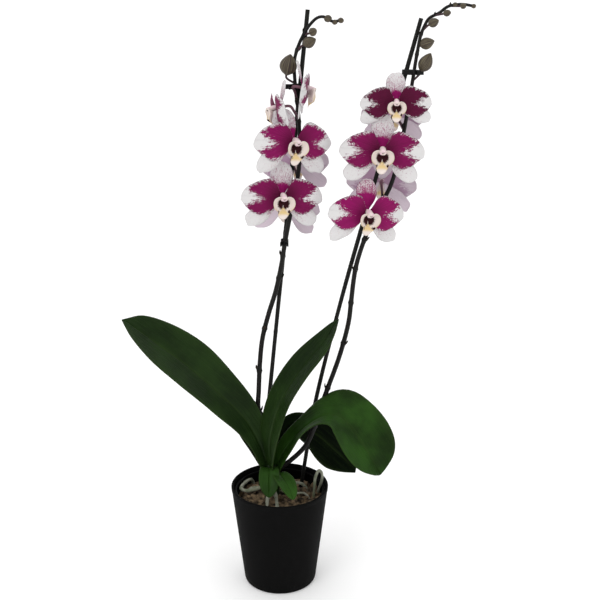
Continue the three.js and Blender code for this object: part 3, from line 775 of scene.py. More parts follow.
def bud_material(groups):
    """Greenish grey with purple lines from base to tip."""
    material, shade, shader = new_material("bud", Roughness=0.5, Specular_IOR_Level=0.35)
    around, along, seed = shade.values("pattern")
    veins = use_group(shade, groups["veins"], {
        "Along": along, "Across": around, "Seed": seed, "Density": 42.0, "Depth": 0.0004})
    colour = shade.mix(veins.outputs["Lines"], COLOURS["bud_green"], COLOURS["bud_purple"])
    shade.feed(shader.inputs["Base Color"], colour)
    shade.feed(shader.inputs["Normal"], veins.outputs["Normal"])
    return material


def pot_material(name, groups, colour, roughness):
    """Matt moulded plastic with faint rings."""
    material, shade, shader = new_material(name, Roughness=roughness, Specular_IOR_Level=0.05)
    place = shade.node("ShaderNodeSeparateXYZ", {0: shade.place()})
    rings = shade.noise(shade.vector(0.0, 0.0, place.outputs[2]), 420, 2)
    grain = use_group(shade, groups["grain"], {
        "Place": shade.place(), "Fine": 2200.0, "Coarse": 14.0, "Depth": 0.00008})
    lighter = tuple(min(1, 1.35 * c) for c in COLOURS[colour][:3]) + (1.0,)
    amount = shade.times(shade.plus(rings, grain.outputs["Shade"]), 0.4)
    shade.feed(shader.inputs["Base Color"], shade.mix(amount, COLOURS[colour], lighter))
    shade.feed(shader.inputs["Normal"], grain.outputs["Normal"])
    return material


def all_materials():
    groups = {"speckle": speckle_group(), "grain": grain_group(), "veins": vein_group()}
    front, back = ("petal_white", "petal_magenta", "petal_deep"), ("petal_back", "petal_back_deep")
    plain_front, plain_back = ("petal_white", "petal_magenta", "petal_magenta"), ("petal_back", "petal_back")
    return {
        "petal": bloom_material("petal", groups, front, back, 4.6, 4.6),
        "sepal": bloom_material("sepal", groups, plain_front, plain_back, 1.6, 4.4),
        "lip": lip_material(),
        "column": grown_material("column", groups, "lip_white", "column", 0.4, 600.0, 200.0, 0.0001),
        "leaf": leaf_material("leaf", groups, "leaf_top", "leaf_dark"),
        # Painted light: a brighter copy of the leaf material for the leaves that catch the light.
        "leaf_young": leaf_material("leaf_young", groups, "leaf_young", "leaf_painted_light_dark"),
        # Painted shade: a darker copy of the leaf material for the leaves in shadow, with little of the
        # underside colour and no gloss.
        "leaf_shade": leaf_material("leaf_shade", groups, "leaf_shade", "leaf_painted_shade_dark", under=0.05,
                                    specular=0.0),
        "spike": grown_material("spike", groups, "spike_green", "spike_purple", 0.5, ends="pedicel"),
        "bract": grown_material("bract", groups, "bract", "spike_green", 0.7),
        "stem": grown_material("crown", groups, "leaf_dark", "leaf_top", 0.5, 500.0, 60.0),
        "bud": bud_material(groups),
        "stake": grown_material("stake", groups, "stake", "spike_green", 0.6, 700.0, 60.0),
        "clip": grown_material("clip", groups, "clip", "clip", 0.4, 500.0, 60.0, 0.00005),
        "root": grown_material("root", groups, "root", "root_silver", 0.7, 1200.0, 120.0, 0.0003,
                               ends="root_green"),
        "bark": grown_material("bark", groups, "bark_dark", "bark_light", 0.85, 520.0, 130.0, 0.001),
        "pot": pot_material("pot", groups, "pot", 0.72),
        "nursery": pot_material("nursery", groups, "nursery", 0.5),
        "floor": new_material("floor", Roughness=0.9, Base_Color=COLOURS["floor"],
                              Emission_Color=(1, 1, 1, 1), Emission_Strength=0.12)[0],
    }


# ---------------------------------------------------------------- geometry nodes
def node_tree(name, inputs):
    """A geometry tree with a geometry socket each way and the named inputs."""
    tree = bpy.data.node_groups.new(name, "GeometryNodeTree")
    tree.interface.new_socket("Geometry", in_out="INPUT", socket_type="NodeSocketGeometry")
    for key, kind in inputs.items():
        tree.interface.new_socket(key, in_out="INPUT", socket_type=kind)
    tree.interface.new_socket("Geometry", in_out="OUTPUT", socket_type="NodeSocketGeometry")
    shade = Shade(tree)
    return shade, shade.node("NodeGroupInput"), shade.node("NodeGroupOutput")


def ending(shade, geometry, material, out):
    """Realize Instances, smooth shading and Set Material, the end of every tree."""
    real = shade.node("GeometryNodeRealizeInstances", {"Geometry": geometry})
    smooth = shade.node("GeometryNodeSetShadeSmooth", {"Geometry": real.outputs[0]})
    made = shade.node("GeometryNodeSetMaterial", {"Geometry": smooth.outputs[0], "Material": material})
    shade.feed(out.inputs["Geometry"], made.outputs[0])


def tubes_tree():
    """Round stalks along the edges of a mesh, as thick at each point as its `thick` attribute says."""
    shade, given, out = node_tree("stalks", {"Sides": "NodeSocketInt", "Material": "NodeSocketMaterial"})
    curve = shade.node("GeometryNodeMeshToCurve", {"Mesh": given.outputs["Geometry"]})
    thick = shade.node("GeometryNodeInputNamedAttribute", {"Name": "thick"}, data_type="FLOAT")
    thickness = next(socket for socket in thick.outputs if socket.enabled and socket.name == "Attribute")
    round_section = {"Resolution": given.outputs["Sides"], "Radius": 1.0}
    ring = shade.node("GeometryNodeCurvePrimitiveCircle", round_section)
    swept = shade.node("GeometryNodeCurveToMesh", {
        "Curve": curve.outputs[0], "Profile Curve": ring.outputs[0], "Scale": thickness, "Fill Caps": True})
    ending(shade, swept.outputs[0], given.outputs["Material"], out)
    return shade.tree


def scatter_tree():
    """Chips of bark strewn over a surface, each turned and sized at random."""
    shade, given, out = node_tree("strewn_bark", {
        "Chip": "NodeSocketObject", "Count": FLOAT, "Lowest": FLOAT, "Seed": "NodeSocketInt",
        "Material": "NodeSocketMaterial"})
    normal = shade.node("ShaderNodeSeparateXYZ", {0: shade.node("GeometryNodeInputNormal").outputs[0]})
    place = shade.node("ShaderNodeSeparateXYZ", {0: shade.node("GeometryNodeInputPosition").outputs[0]})
    high = shade.math("GREATER_THAN", place.outputs[2], given.outputs["Lowest"])
    points = shade.node("GeometryNodeDistributePointsOnFaces", {
        "Mesh": given.outputs["Geometry"], "Density": given.outputs["Count"], "Seed": given.outputs["Seed"],
        "Selection": shade.times(shade.math("GREATER_THAN", normal.outputs[2], 0.5), high)})
    chip = shade.node("GeometryNodeObjectInfo", {"Object": given.outputs["Chip"]})
    turn = shade.node("FunctionNodeRandomValue", data_type="FLOAT_VECTOR")
    turn.inputs[0].default_value = (-0.5, -0.5, 0)
    turn.inputs[1].default_value = (0.5, 0.5, 6.283)
    shade.feed(turn.inputs["Seed"], given.outputs["Seed"])
    size = shade.node("FunctionNodeRandomValue", data_type="FLOAT_VECTOR")
    size.inputs[0].default_value = (0.55, 0.55, 0.6)
    size.inputs[1].default_value = (1.25, 1.25, 1.2)
    strewn = shade.node("GeometryNodeInstanceOnPoints", {
        "Points": points.outputs[0], "Instance": chip.outputs["Geometry"],
        "Rotation": turn.outputs[0], "Scale": size.outputs[0]})
    joined = shade.node("GeometryNodeJoinGeometry")
    shade.feed(joined.inputs[0], given.outputs["Geometry"])
    shade.feed(joined.inputs[0], strewn.outputs[0])
    ending(shade, joined.outputs[0], given.outputs["Material"], out)
    return shade.tree


def grow(obj, tree, **inputs):
    """Runs a geometry tree on an object and keeps the result as its mesh."""
    modifier = obj.modifiers.new(tree.name, "NODES")
    modifier.node_group = tree
    for socket in tree.interface.items_tree:
        if socket.in_out == "INPUT" and socket.name in inputs:
            modifier[socket.identifier] = inputs[socket.name]
    return plain(obj)


def stalks(name, strands, material, sides):
    """One object of round stalks; each strand is points, radii and a tint at each point."""
    points, edges, thick, tint = [], [], [], []
    for path, radii, tints in strands:
        base = len(points)
        points += [tuple(p * MM) for p in np.asarray(path)[:, :3]]
        edges += [(base + i, base + i + 1) for i in range(len(path) - 1)]
        thick += list(spread(radii, len(path)) * MM)
        tint += list(spread(tints, len(path)))
    mesh = bpy.data.meshes.new(name)
    mesh.from_pydata(points, edges, [])
    for key, values in (("thick", thick), ("tint", tint)):
        mesh.attributes.new(key, "FLOAT", "POINT").data.foreach_set("value", values)
    obj = bpy.data.objects.new(name, mesh)
    bpy.context.scene.collection.objects.link(obj)
    return grow(obj, TREES["stalks"], Sides=sides, Material=material)


# Filled by main, read by the functions that build the pieces.
MATERIALS = {}
TREES = {}


# ---------------------------------------------------------------- flowers
def bloom_matrix(bloom):
    place = Matrix.Translation(Vector(bloom["hub"])) @ Matrix.Rotation(math.radians(bloom["azimuth"]), 4, "Z")
    place = place @ Matrix.Rotation(math.radians(90 + bloom["nod"]), 4, "X")
    return place @ Matrix.Rotation(math.radians(bloom["roll"]), 4, "Z") @ Matrix.Scale(bloom["span"] / 100, 4)


def tepal(first, second, seed, style, rows=34, columns=25):
    """A tepal between two outlines; style says how it bends and how it is coloured."""
    one, two = evenly([(x, y, 0) for x, y in first], rows), evenly([(x, y, 0) for x, y in second], rows)
    across = np.linspace(0, 1, columns)[None, :, None]
    grid = one[:, None] * (1 - across) + two[:, None] * across
    along = np.linspace(0, 1, rows)[:, None] * np.ones((1, columns))
    v = np.abs(2 * across[..., 0] - 1) * np.ones((rows, 1))
    x, y = grid[..., 0], grid[..., 1]
    reach = np.hypot(x, y)
    angle = np.arctan2(y, x)
    edge = np.maximum(v**3, np.clip((along - 0.55) / 0.45, 0, 1) ** 2)
    rng = np.random.default_rng(seed)
    phase, lean = rng.uniform(0, 6.28), rng.uniform(0.8, 1.2)
    wave = np.sin(style["waves"] * angle + phase) + 0.5 * np.sin(2.3 * style["waves"] * angle + 2 * phase)
    hem = edge * np.clip((reach - 14) / 26, 0, 1)
    grid[..., 2] = (style["base"] * np.clip(reach / 6, 0.3, 1) + style["tilt"] * reach
                    + style["dome"] * np.sin(np.clip(reach / 46, 0, 1) * math.pi)
                    - style["droop"] * lean * hem + style["ruffle"] * edge * wave * along
                    + style["fold"] * np.exp(-((2 * across[..., 0] - 1) / 0.12) ** 2) * along * (1 - along))
    margin_gap = (1 - v) * np.linalg.norm(one - two, axis=1)[:, None] / 2
    tip_gap = (1 - along) * reach.max()
    gap = np.minimum(margin_gap, tip_gap)
    field = style["field"](x, y, gap)
    thickness = TEPAL_THICKNESS * (0.45 + 0.55 * np.clip(gap / 8, 0, 1))
    pattern = np.stack([angle, reach, np.full_like(x, 7.3 * seed)], axis=-1)
    marks = np.stack([field, np.zeros_like(x), np.full_like(x, style["deep"])], axis=-1)
    return shell(grid, thickness, pattern, marks, (0, 0, 1), style["material"])


def petal_field(bloom):
    """Magenta above zero: all but a wedge from the outer edge and a margin."""
    def field(x, y, gap):
        opening = np.where(y > -3, 0.7, 0.56)
        wedge = (np.abs(y + 3) - opening * (np.abs(x) - bloom["wedge"])) / 5
        outer = np.clip((np.hypot(x, y) - 12) / 14, 0, 1)
        margin = (gap - bloom["margin"] * outer) / 3 + 0.7 * (1 - outer)
        base = (np.hypot(x, y) + 4) / 6
        return np.minimum(np.minimum(wedge, margin), base)
    return field


def sepal_field(reach):
    """Spots that thin out from the hub."""
    def field(x, y, gap):
        away = np.hypot(x, y)
        return np.maximum((reach - away) / 3.5, np.maximum((2.4 * reach - away) / 40 - 0.62, -1.3))
    return field


def bloom_parts(bloom, seed):
    """Two petals in front, three sepals behind, in the flower's own frame."""
    rng = np.random.default_rng(1000 + seed)
    petal = dict(base=1.5, dome=2.6, droop=4.2, ruffle=0.8, fold=0.6, tilt=0, waves=7, deep=bloom["deep"],
                 material=0, field=petal_field(bloom))
    sepal = dict(base=-3.6, dome=0.4, droop=2.8, ruffle=0.5, fold=0.8, tilt=0.05, waves=5, deep=0.3,
                 material=1)

    def varied(outline, mirror=1, turn=0.0):
        cos, sin = math.cos(math.radians(turn)), math.sin(math.radians(turn))
        return [(mirror * (x * k * cos - y * m * sin), x * k * sin + y * m * cos) for (x, y), k, m in
                zip(outline, rng.uniform(0.985, 1.02, len(outline)), rng.uniform(0.97, 1.03, len(outline)))]

    parts = []
    for mirror in (1, -1):
        upper, lower = varied(PETAL_UPPER, mirror), varied(PETAL_LOWER, mirror)
        parts.append(tepal(upper, lower, 10 * seed + mirror + 2, petal))
        style = dict(sepal, field=sepal_field(16), base=-4.0)
        outer = varied(LATERAL_OUTER, mirror, bloom["spread"])
        inner = varied(LATERAL_INNER, mirror, bloom["spread"])
        parts.append(tepal(outer, inner, 10 * seed + mirror + 5, style))
    style = dict(sepal, field=sepal_field(bloom["stain"]), tilt=-0.26)
    right, left = varied(DORSAL_RIGHT, 1, bloom["dorsal"]), varied(DORSAL_LEFT, 1, bloom["dorsal"])
    parts.append(tepal(right, left, 10 * seed + 8, style))
    return parts


def lip_parts(seed):
    """The lip, a bowl of two raised side lobes and a pointed middle one, with the column above it."""
    around, rings = 72, 14
    degrees = np.linspace(-180, 180, around, endpoint=False)
    folded = np.where(degrees > 90, 180 - degrees, np.where(degrees < -90, -180 - degrees, degrees))
    known = sorted(LIP_REACH)
    reach = np.interp(folded, [a for a, _ in known], [r for _, r in known])
    reach = np.convolve(np.concatenate([reach[-2:], reach, reach[:2]]), [0.1, 0.2, 0.4, 0.2, 0.1], "valid")
    r = np.linspace(0, 1, rings)[:, None]
    theta = np.radians(degrees)[None, :]
    middle_lobe = np.clip((-folded - 52) / 22, 0, 1)[None, :]
    middle_lobe = middle_lobe**2 * (3 - 2 * middle_lobe)
    curl = 1 - 0.16 * np.clip((r - 0.75) / 0.25, 0, 1) ** 2 * (1 - middle_lobe)
    x, y = reach * r * curl * np.cos(theta), -8 + reach * r * curl * np.sin(theta)
    side_height = 5 + 10.5 * r**1.6 + 0.5 * r * np.sin(6 * theta + seed)
    middle_height = 5 + 4.5 * r - 2.5 * r**3
    z = side_height * (1 - middle_lobe) + middle_height * middle_lobe
    points = np.stack([x, y, z], axis=-1)
    throat = np.exp(-(((x / 7.4) ** 2 + ((y + 8.5) / 7.2) ** 2) ** 1.6))
    dark = 1.35 * throat - 0.9 * np.exp(-((x / 0.9) ** 2)) * np.clip((-y - 8) / 3, 0, 1)
    # Painted shadow: two small dark spots in the notches between the side lobes and the middle lobe.
    for side in (1, -1):
        dark = dark + 1.0 * np.exp(-((x - side * 7.4) ** 2 + (y + 18) ** 2) / 4)
    rim = np.clip((r - 0.78) / 0.2, 0, 1) * (1 - middle_lobe) * np.clip(0.55 - 0.55 * np.sin(theta), 0, 1)
    yellow = rim * 0.8 + 0.8 * middle_lobe * np.exp(-(((y + 19.5) / 4) ** 2))
    all_theta, all_r = np.broadcast_to(theta, x.shape), np.broadcast_to(r, x.shape)
    pattern = np.stack([all_theta, 15 * all_r, np.full_like(x, seed)], axis=-1)
    marks = np.stack([dark, np.zeros_like(x), yellow], axis=-1)
    lip = polar_shell(points, np.full(rings, 1.1) * np.linspace(1, 0.7, rings), pattern, marks)
    callus = tube([(0, -15.5, 6), (0, -15.5, 8.6), (0, -15.6, 9.6)], [2.2, 1.7, 0.5], 14, 0, (0.1, 1, 0.7))
    bend = smooth_path([(0, 0, -3), (0, 0.6, 3), (0, 0, 8), (0, -1.6, 12), (0, -2.6, 13.6)], 18)
    t = np.linspace(0, 1, 18)
    radii = 2.4 + 1.5 * np.sin(math.pi * t) + np.where(t > 0.6, 1.0 * np.sin(math.pi * (t - 0.6) / 0.4), 0)
    radii[-1] = 1.0
    column = tube(bend, radii, 18, 1)
    under = tube([(0, -4.6, 6.5), (0, -5.6, 11.2)], [3.0, 1.6], 12, 0, (1.6, 1, 0))
    return [lip, callus, column, under]


def build_bloom(side, number):
    """The tepals and the lip of one flower, seated where the CAD has them."""
    bloom = BLOOMS[side][number]
    seed = number + (20 if side == "right" else 1)
    matrix = bloom_matrix(bloom)
    node = f"tepals_{side}_{number + 1}"
    lip_node = f"lip_{side}_{number + 1}"
    petals = new_object(f"{node}_soft", [p.moved(matrix) for p in bloom_parts(bloom, seed)],
                        [MATERIALS["petal"], MATERIALS["sepal"]])
    check_place(petals, node)
    lip = new_object(f"{lip_node}_soft", [p.moved(matrix) for p in lip_parts(seed)],
                     [MATERIALS["lip"], MATERIALS["column"]])
    check_place(lip, lip_node)
    finish(petals, node, "petal")
    finish(lip, lip_node, "lip")


def build_bud(side, number):
    bud = BUDS[side][number]
    node = f"bud_{side}_{number + 1}"
    turn = Vector(bud["points"]).normalized().to_track_quat("Z", "Y").to_matrix().to_4x4()
    t = np.linspace(0, 1, 22)
    height = (t - 0.5) * bud["length"]
    radii = 0.5 * bud["width"] * np.sin(math.pi * np.clip(t, 0.02, 0.985) ** 0.82) ** 0.72
    body = tube(np.stack([np.zeros(22), np.zeros(22), height], axis=1), radii, 48, lobes=3, lobe_depth=0.13)
    body.pattern[:, 2] = number + len(side)
    obj = new_object(f"{node}_soft", [body.moved(turn)], [MATERIALS["bud"]])
    seat(obj, node)
    finish(obj, node, "bud")


# ---------------------------------------------------------------- leaves
def leaf_part(stations, heading, seed, waviness, thickness=LEAF_THICKNESS, rows=72, columns=29,
              leaf_channel=LEAF_CHANNEL):
    """A blade along stations, with a groove down its middle and a keel under it."""
    line = evenly(stations, rows)
    centre, width, roll = line[:, :3], line[:, 3].copy(), np.radians(line[:, 4])
    along = np.linspace(0, 1, rows)
    width *= np.where(along > 0.93, np.sqrt(np.clip(1 - ((along - 0.93) / 0.0705) ** 2, 0.01, 1)), 1)
    tangents = unit(np.gradient(centre, axis=0))
    flat = np.array([heading[1], -heading[0], 0.0])
    sides = unit(flat - tangents * (tangents @ flat)[:, None])
    others = np.cross(tangents, sides)
    sides = sides * np.cos(roll)[:, None] + others * np.sin(roll)[:, None]
    faces = np.cross(sides, tangents)
    v = np.sin(np.linspace(-math.pi / 2, math.pi / 2, columns))
    v = 0.5 * v + 0.5 * np.linspace(-1, 1, columns)
    rng = np.random.default_rng(seed)
    phase = rng.uniform(0, 6.28, 2)
    length = np.linalg.norm(np.diff(centre, axis=0), axis=1).sum()
    wave = np.stack([np.sin(length / 26 * along + phase[0]), np.sin(length / 21 * along + phase[1])], axis=1)
    lift = leaf_channel * width[:, None] * np.abs(v[None, :]) ** 1.4
    lift = lift - 1.5 * np.exp(-((v / 0.055) ** 2))[None, :] * np.clip(width / 12, 0.2, 1)[:, None]
    edge = np.clip(np.abs(v) - 0.45, 0, 1) ** 2
    one_side = np.where(v[None, :] > 0, wave[:, :1], wave[:, 1:])
    lift = lift + waviness * edge[None, :] * one_side * 3 * (width / 20)[:, None]
    out = (v[None, :] * width[:, None])[..., None]
    grid = centre[:, None] - sides[:, None] * out + faces[:, None] * lift[..., None]
    crown = 0.4 + 0.6 * np.sqrt(np.clip(1 - v**2, 0, 1))
    body = thickness * crown[None, :] * np.clip(width / 9, 0.35, 1)[:, None]
    keel = 0.9 * np.exp(-((v / 0.07) ** 2))[None, :] * (1 - along)[:, None]
    ones = np.ones((rows, columns))
    down = along[:, None] * length * ones
    pattern = np.stack([down, v[None, :] * width[:, None], 3.7 * seed * ones], axis=-1)
    rib = np.exp(-((v / 0.06) ** 2))[None, :] * ones * (1 - 0.6 * along)[:, None]
    # The third mark is the lighter margin line, partly painted highlight.
    marks = np.stack([rib, 0 * ones, np.abs(v)[None, :] ** 12 * ones], axis=-1)
    return shell(grid, body, pattern, marks, faces.mean(axis=0), under=keel)


def build_leaf(node, seed, waviness):
    leaf = LEAVES[node]
    channel = leaf.get("channel", LEAF_CHANNEL)
    part = leaf_part(leaf["stations"], leaf["heading"], seed, waviness, leaf_channel=channel)
    obj = new_object(f"{node}_soft", [part], [MATERIALS[leaf.get("tone", "leaf")]])
    seat(obj, node)
    finish(obj, node, "leaf")


def sheath(base, tip, out, width, seed):
    """A short leaf base that clasps the crown."""
    base, tip, out = (np.array(p, float) for p in (base, tip, out))
    middle = (base + tip) / 2 + 0.22 * out
    stations = [(*base, width, 0), (*middle, 0.95 * width, 0), (*tip, 0.45 * width, 0)]
    heading = unit(out[:2])
    return leaf_part(stations, heading, seed, 0.1, thickness=1.6, rows=24, columns=17)


def build_crown():
    """The short stem and the clasping leaf bases round it."""
    low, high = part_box("crown_stem")
    top, base = high.z / MM, low.z / MM
    path = smooth_path([(-9, 3, base), (-11, 4, base + 42), (-12, 4, top)], 30)
    t = np.linspace(0, 1, 30)
    radii = STEM_RADIUS * (0.55 + 0.5 * np.sin(math.pi * (0.15 + 0.6 * t))) * (1 + 0.04 * np.sin(40 * t))
    radii[0] = radii[-1] = 0.35 * STEM_RADIUS
    stem = tube(path, radii, 40, marks=(0.2, 0.5, 0))
    obj = new_object("crown_stem_soft", [stem], [MATERIALS["stem"]])
    seat(obj, "crown_stem")
    finish(obj, "crown_stem", "stem")
    sheaths = [sheath((-12, -2, 128), (-24, -3, 158), (-12, -6, 0), 9, 51),
               sheath((-9, -2, 126), (3, -7, 154), (12, -7, 0), 9, 52),
               sheath((-12, 10, 128), (-18, 18, 152), (-6, 12, 0), 8, 53)]
    obj = new_object("crown_sheaths", sheaths, [MATERIALS["leaf"]])
    finish(obj, "crown_stem", "leaf")


# ---------------------------------------------------------------- stalks, stakes, roots and clips
def spike_radii(path):
    """Thinner towards the tip."""
    along = np.linspace(0, 1, len(path))
    shares = np.array((1, 0.92, 0.76, SPIKE_TIP_RADIUS / SPIKE_BASE_RADIUS))
    return np.interp(along, (0, 0.4, 0.7, 1), SPIKE_BASE_RADIUS * shares)


def bract(point, tangent, out, size, seed):
    """A small dry scale that hugs the spike above a joint."""
    start = point + 0.6 * out
    tip = point + 6.5 * size * tangent + 3.4 * size * out
    middle = (start + tip) / 2 + 0.7 * out
    stations = [(*start, 1.9 * size, 0), (*middle, 2.3 * size, 0), (*tip, 0.7 * size, 0)]
    heading = unit(out[:2]) if np.linalg.norm(out[:2]) > 0.2 else np.array([1.0, 0.0])
    return leaf_part(stations, heading, seed, 0, thickness=0.7, rows=14, columns=11)


def build_spike(side):
    """The flowering stalk with its joints, flower stalks, bud stalks and tip buds."""
    node = f"flower_spike_{side}"
    path = SPIKE_PATHS[side]
    line = evenly(path, 260)
    radii = spike_radii(line)
    bracts = []
    tangents = unit(np.gradient(line, axis=0))
    for number, height in enumerate(SPIKE_JOINTS[side]):
        i = int(np.abs(line[:, 2] - height).argmin())
        away = np.linalg.norm(line - line[i], axis=1)
        radii = radii + 0.28 * radii[i] * np.exp(-((away / 2.2) ** 2))
        angle = 2.1 * number + (0.4 if side == "left" else 1.3)
        out = np.array([math.cos(angle), math.sin(angle), 0])
        out = unit(out - tangents[i] * (out @ tangents[i]))
        size = 1.0 if height < 500 else 0.8
        bracts.append(bract(line[i] + radii[i] * 0.7 * out, tangents[i], out, size, 70 + number))
    strands = [(line, radii, 0.0)]
    for bloom in BLOOMS[side]:
        matrix = bloom_matrix(bloom)
        start = at_height(path, bloom["start"])
        back = np.array(matrix @ Vector((0, 0, -18)))
        end = np.array(matrix @ Vector((0, 0, -1)))
        stalk = smooth_path([start, (start + back) / 2 + (0, 0, 1.5), back, end], 26)
        t = np.linspace(0, 1, 26)
        widths = PEDICEL_RADIUS * (1 + 0.35 * np.exp(-((t / 0.12) ** 2)) + 0.2 * t)
        strands.append((stalk, widths, np.clip(1.2 * t + 0.1, 0, 1)))
        bracts.append(bract(start, np.array([0, 0, 1.0]), unit(back - start), 0.9, 90))
    for bud in BUDS[side]:
        start, centre = at_height(path, bud["start"]), np.array(bud["centre"], float)
        way = unit(np.array(bud["points"], float))
        foot = bud["length"] * way
        stalk = smooth_path([start, centre - 0.62 * foot, centre - 0.36 * foot], 14)
        strands.append((stalk, 0.85 * PEDICEL_RADIUS, 0.25))
        bracts.append(bract(start, np.array([0, 0, 1.0]), way, 0.7, 95))
    obj = stalks(f"{node}_soft", strands, MATERIALS["spike"], 20)
    finish(obj, node, "spike")
    rng = np.random.default_rng(5)
    tips = []
    for x, y, z, radius in TIP_BUDS[side]:
        t = np.linspace(-1, 1, 14)
        way = unit(np.array([0.8, -0.5, rng.uniform(-0.6, 0.2)]))
        tips.append(tube(np.array([x, y, z]) + 1.15 * radius * t[:, None] * way,
                         radius * np.sqrt(np.clip(1 - t**2, 0.02, 1)), 24, 1, lobes=3, lobe_depth=0.1))
    trim = new_object(f"{node}_bracts", bracts + tips, [MATERIALS["bract"], MATERIALS["bud"]])
    finish(trim, node, "spike")
    seat(obj, node, trim)


def build_stake(side):
    node = f"stake_{side}"
    line = evenly(STAKE_PATHS[side], 200)
    height = line[:, 2]
    radii = STAKE_RADIUS * (0.97 + 0.03 * np.sin(height / 31))
    for joint in range(80, 740, 132):
        radii = radii + 0.3 * np.exp(-(((height - joint) / 1.6) ** 2))
    obj = stalks(f"{node}_soft", [(line, radii, 0.0)], MATERIALS["stake"], 20)
    seat(obj, node)
    finish(obj, node, "stake")


def build_root(node, seed):
    root = ROOTS[node]
    line = evenly(root["path"], 60)
    rng = np.random.default_rng(seed)
    t = np.linspace(0, 1, 60)
    lumps = sum(rng.uniform(0.02, 0.06) * np.sin(k * t * 6.28 + rng.uniform(0, 6.28)) for k in (2, 3, 5, 8))
    obj = stalks(f"{node}_soft", [(line, ROOT_RADIUS * root["size"] * (1 + lumps), 0.8 * (1 - t) ** 3)],
                 MATERIALS["root"], 22)
    check_place(obj, node)
    finish(obj, node, "root")


def band_loop(line, thick, tall, sides):
    """A closed band of rounded section along a loop, with its half thickness and half height."""
    line = np.asarray(line, float)
    tangents = unit(np.roll(line, -1, axis=0) - np.roll(line, 1, axis=0))
    angles = np.linspace(0, 2 * math.pi, sides, endpoint=False)
    flat = thick * np.sign(np.cos(angles)) * np.abs(np.cos(angles)) ** 0.5
    high = tall * np.sign(np.sin(angles)) * np.abs(np.sin(angles)) ** 0.5
    up = np.array([0.0, 0.0, 1.0])
    points, faces = [], []
    for i, (centre, tangent) in enumerate(zip(line, tangents)):
        side = unit(np.cross(tangent, up))
        points += [centre + a * side + h * up for a, h in zip(flat, high)]
        here, there = i * sides, (i + 1) % len(line) * sides
        for j in range(sides):
            k = (j + 1) % sides
            faces.append([here + j, there + j, there + k, here + k])
    return Part(points, faces)


def wing_part(corners, face):
    """A clip's finger plate between four corners, a little dished."""
    low_in, low_out, high_in, high_out = (np.asarray(c, float) for c in corners)
    s, t = np.linspace(0, 1, 13)[:, None, None], np.linspace(0, 1, 9)[None, :, None]
    grid = (low_in * (1 - s) + low_out * s) * (1 - t) + (high_in * (1 - s) + high_out * s) * t
    grid = grid + 0.5 * np.sin(math.pi * s) * face
    size = grid.shape[:2]
    return shell(grid, np.full(size, 1.3), np.zeros((*size, 3)), np.zeros((*size, 3)), face)


def build_clip(node):
    """A band round stake and spike, with two wings to pinch it open by."""
    side, height = CLIPS[node]
    stake, spike = at_height(STAKE_PATHS[side], height), at_height(SPIKE_PATHS[side], height)
    middle, across = (stake + spike) / 2, unit((spike - stake) * (1, 1, 0))
    out = np.array([-across[1], across[0], 0.0])
    reach = np.linalg.norm((spike - stake)[:2]) / 2
    wide = max(SPIKE_BASE_RADIUS, STAKE_RADIUS) + CLIP_ROOM
    turn = np.linspace(0, 2 * math.pi, 48, endpoint=False)
    line = middle + np.outer(reach * np.sign(np.cos(turn)) + wide * np.cos(turn), across)
    parts = [band_loop(line + np.outer(wide * np.sin(turn), out), CLIP_WALL / 2, CLIP_HEIGHT / 2, 16)]
    for hand in (-1, 1):
        way = math.cos(0.5) * across + hand * math.sin(0.5) * out
        start = middle + (reach + 0.8 * wide) * across + hand * 0.8 * out
        levels = (-CLIP_HEIGHT / 2, CLIP_HEIGHT / 2)
        plate = [start + CLIP_WING * t * way + (0, 0, z) for z in levels for t in (0, 1)]
        parts.append(wing_part(plate, np.cross(way, (0, 0, 1))))
    obj = new_object(f"{node}_soft", parts, [MATERIALS["clip"]])
    check_place(obj, node)
    finish(obj, node, "clip")


# ---------------------------------------------------------------- pots and bark
def build_cover_pot():
    low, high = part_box("cover_pot")
    top, rim = high.z / MM, (high.x - low.x) / 2 / MM
    base = low.z / MM
    foot = rim - POT_TAPER * (top - base)
    inner = rim - POT_WALL
    wall = [(foot + POT_TAPER * z, base + z) for z in np.linspace(POT_FOOT_ROUND, top - base - 7, 24)]
    profile = [(0, base), (foot * 0.6, base), (foot - POT_FOOT_ROUND, base)]
    profile += arc((foot - POT_FOOT_ROUND + 0.3, base + POT_FOOT_ROUND), POT_FOOT_ROUND, -80, -8)
    profile += wall
    profile += [(rim - 0.75, top - 6.2), (rim - 0.3, top - 5.4)]
    profile += arc((rim - POT_RIM_ROUND, top - POT_RIM_ROUND), POT_RIM_ROUND, 0, 90)
    profile += arc((inner + POT_RIM_ROUND, top - POT_RIM_ROUND), POT_RIM_ROUND, 90, 178)
    floor = base + POT_FLOOR
    profile += [(inner - POT_TAPER * z, top - z) for z in np.linspace(3, top - floor - 4, 10)]
    bottom = inner - POT_TAPER * (top - floor)
    profile += arc((bottom - 3, floor + 3), 3, -5, -85)
    profile += [(bottom * 0.5, floor), (0, floor)]
    obj = new_object("cover_pot_soft", [lathe(profile, POT_SEGMENTS)], [MATERIALS["pot"]])
    outward(obj.data)
    seat(obj, "cover_pot")
    finish(obj, "cover_pot", "cover_pot")


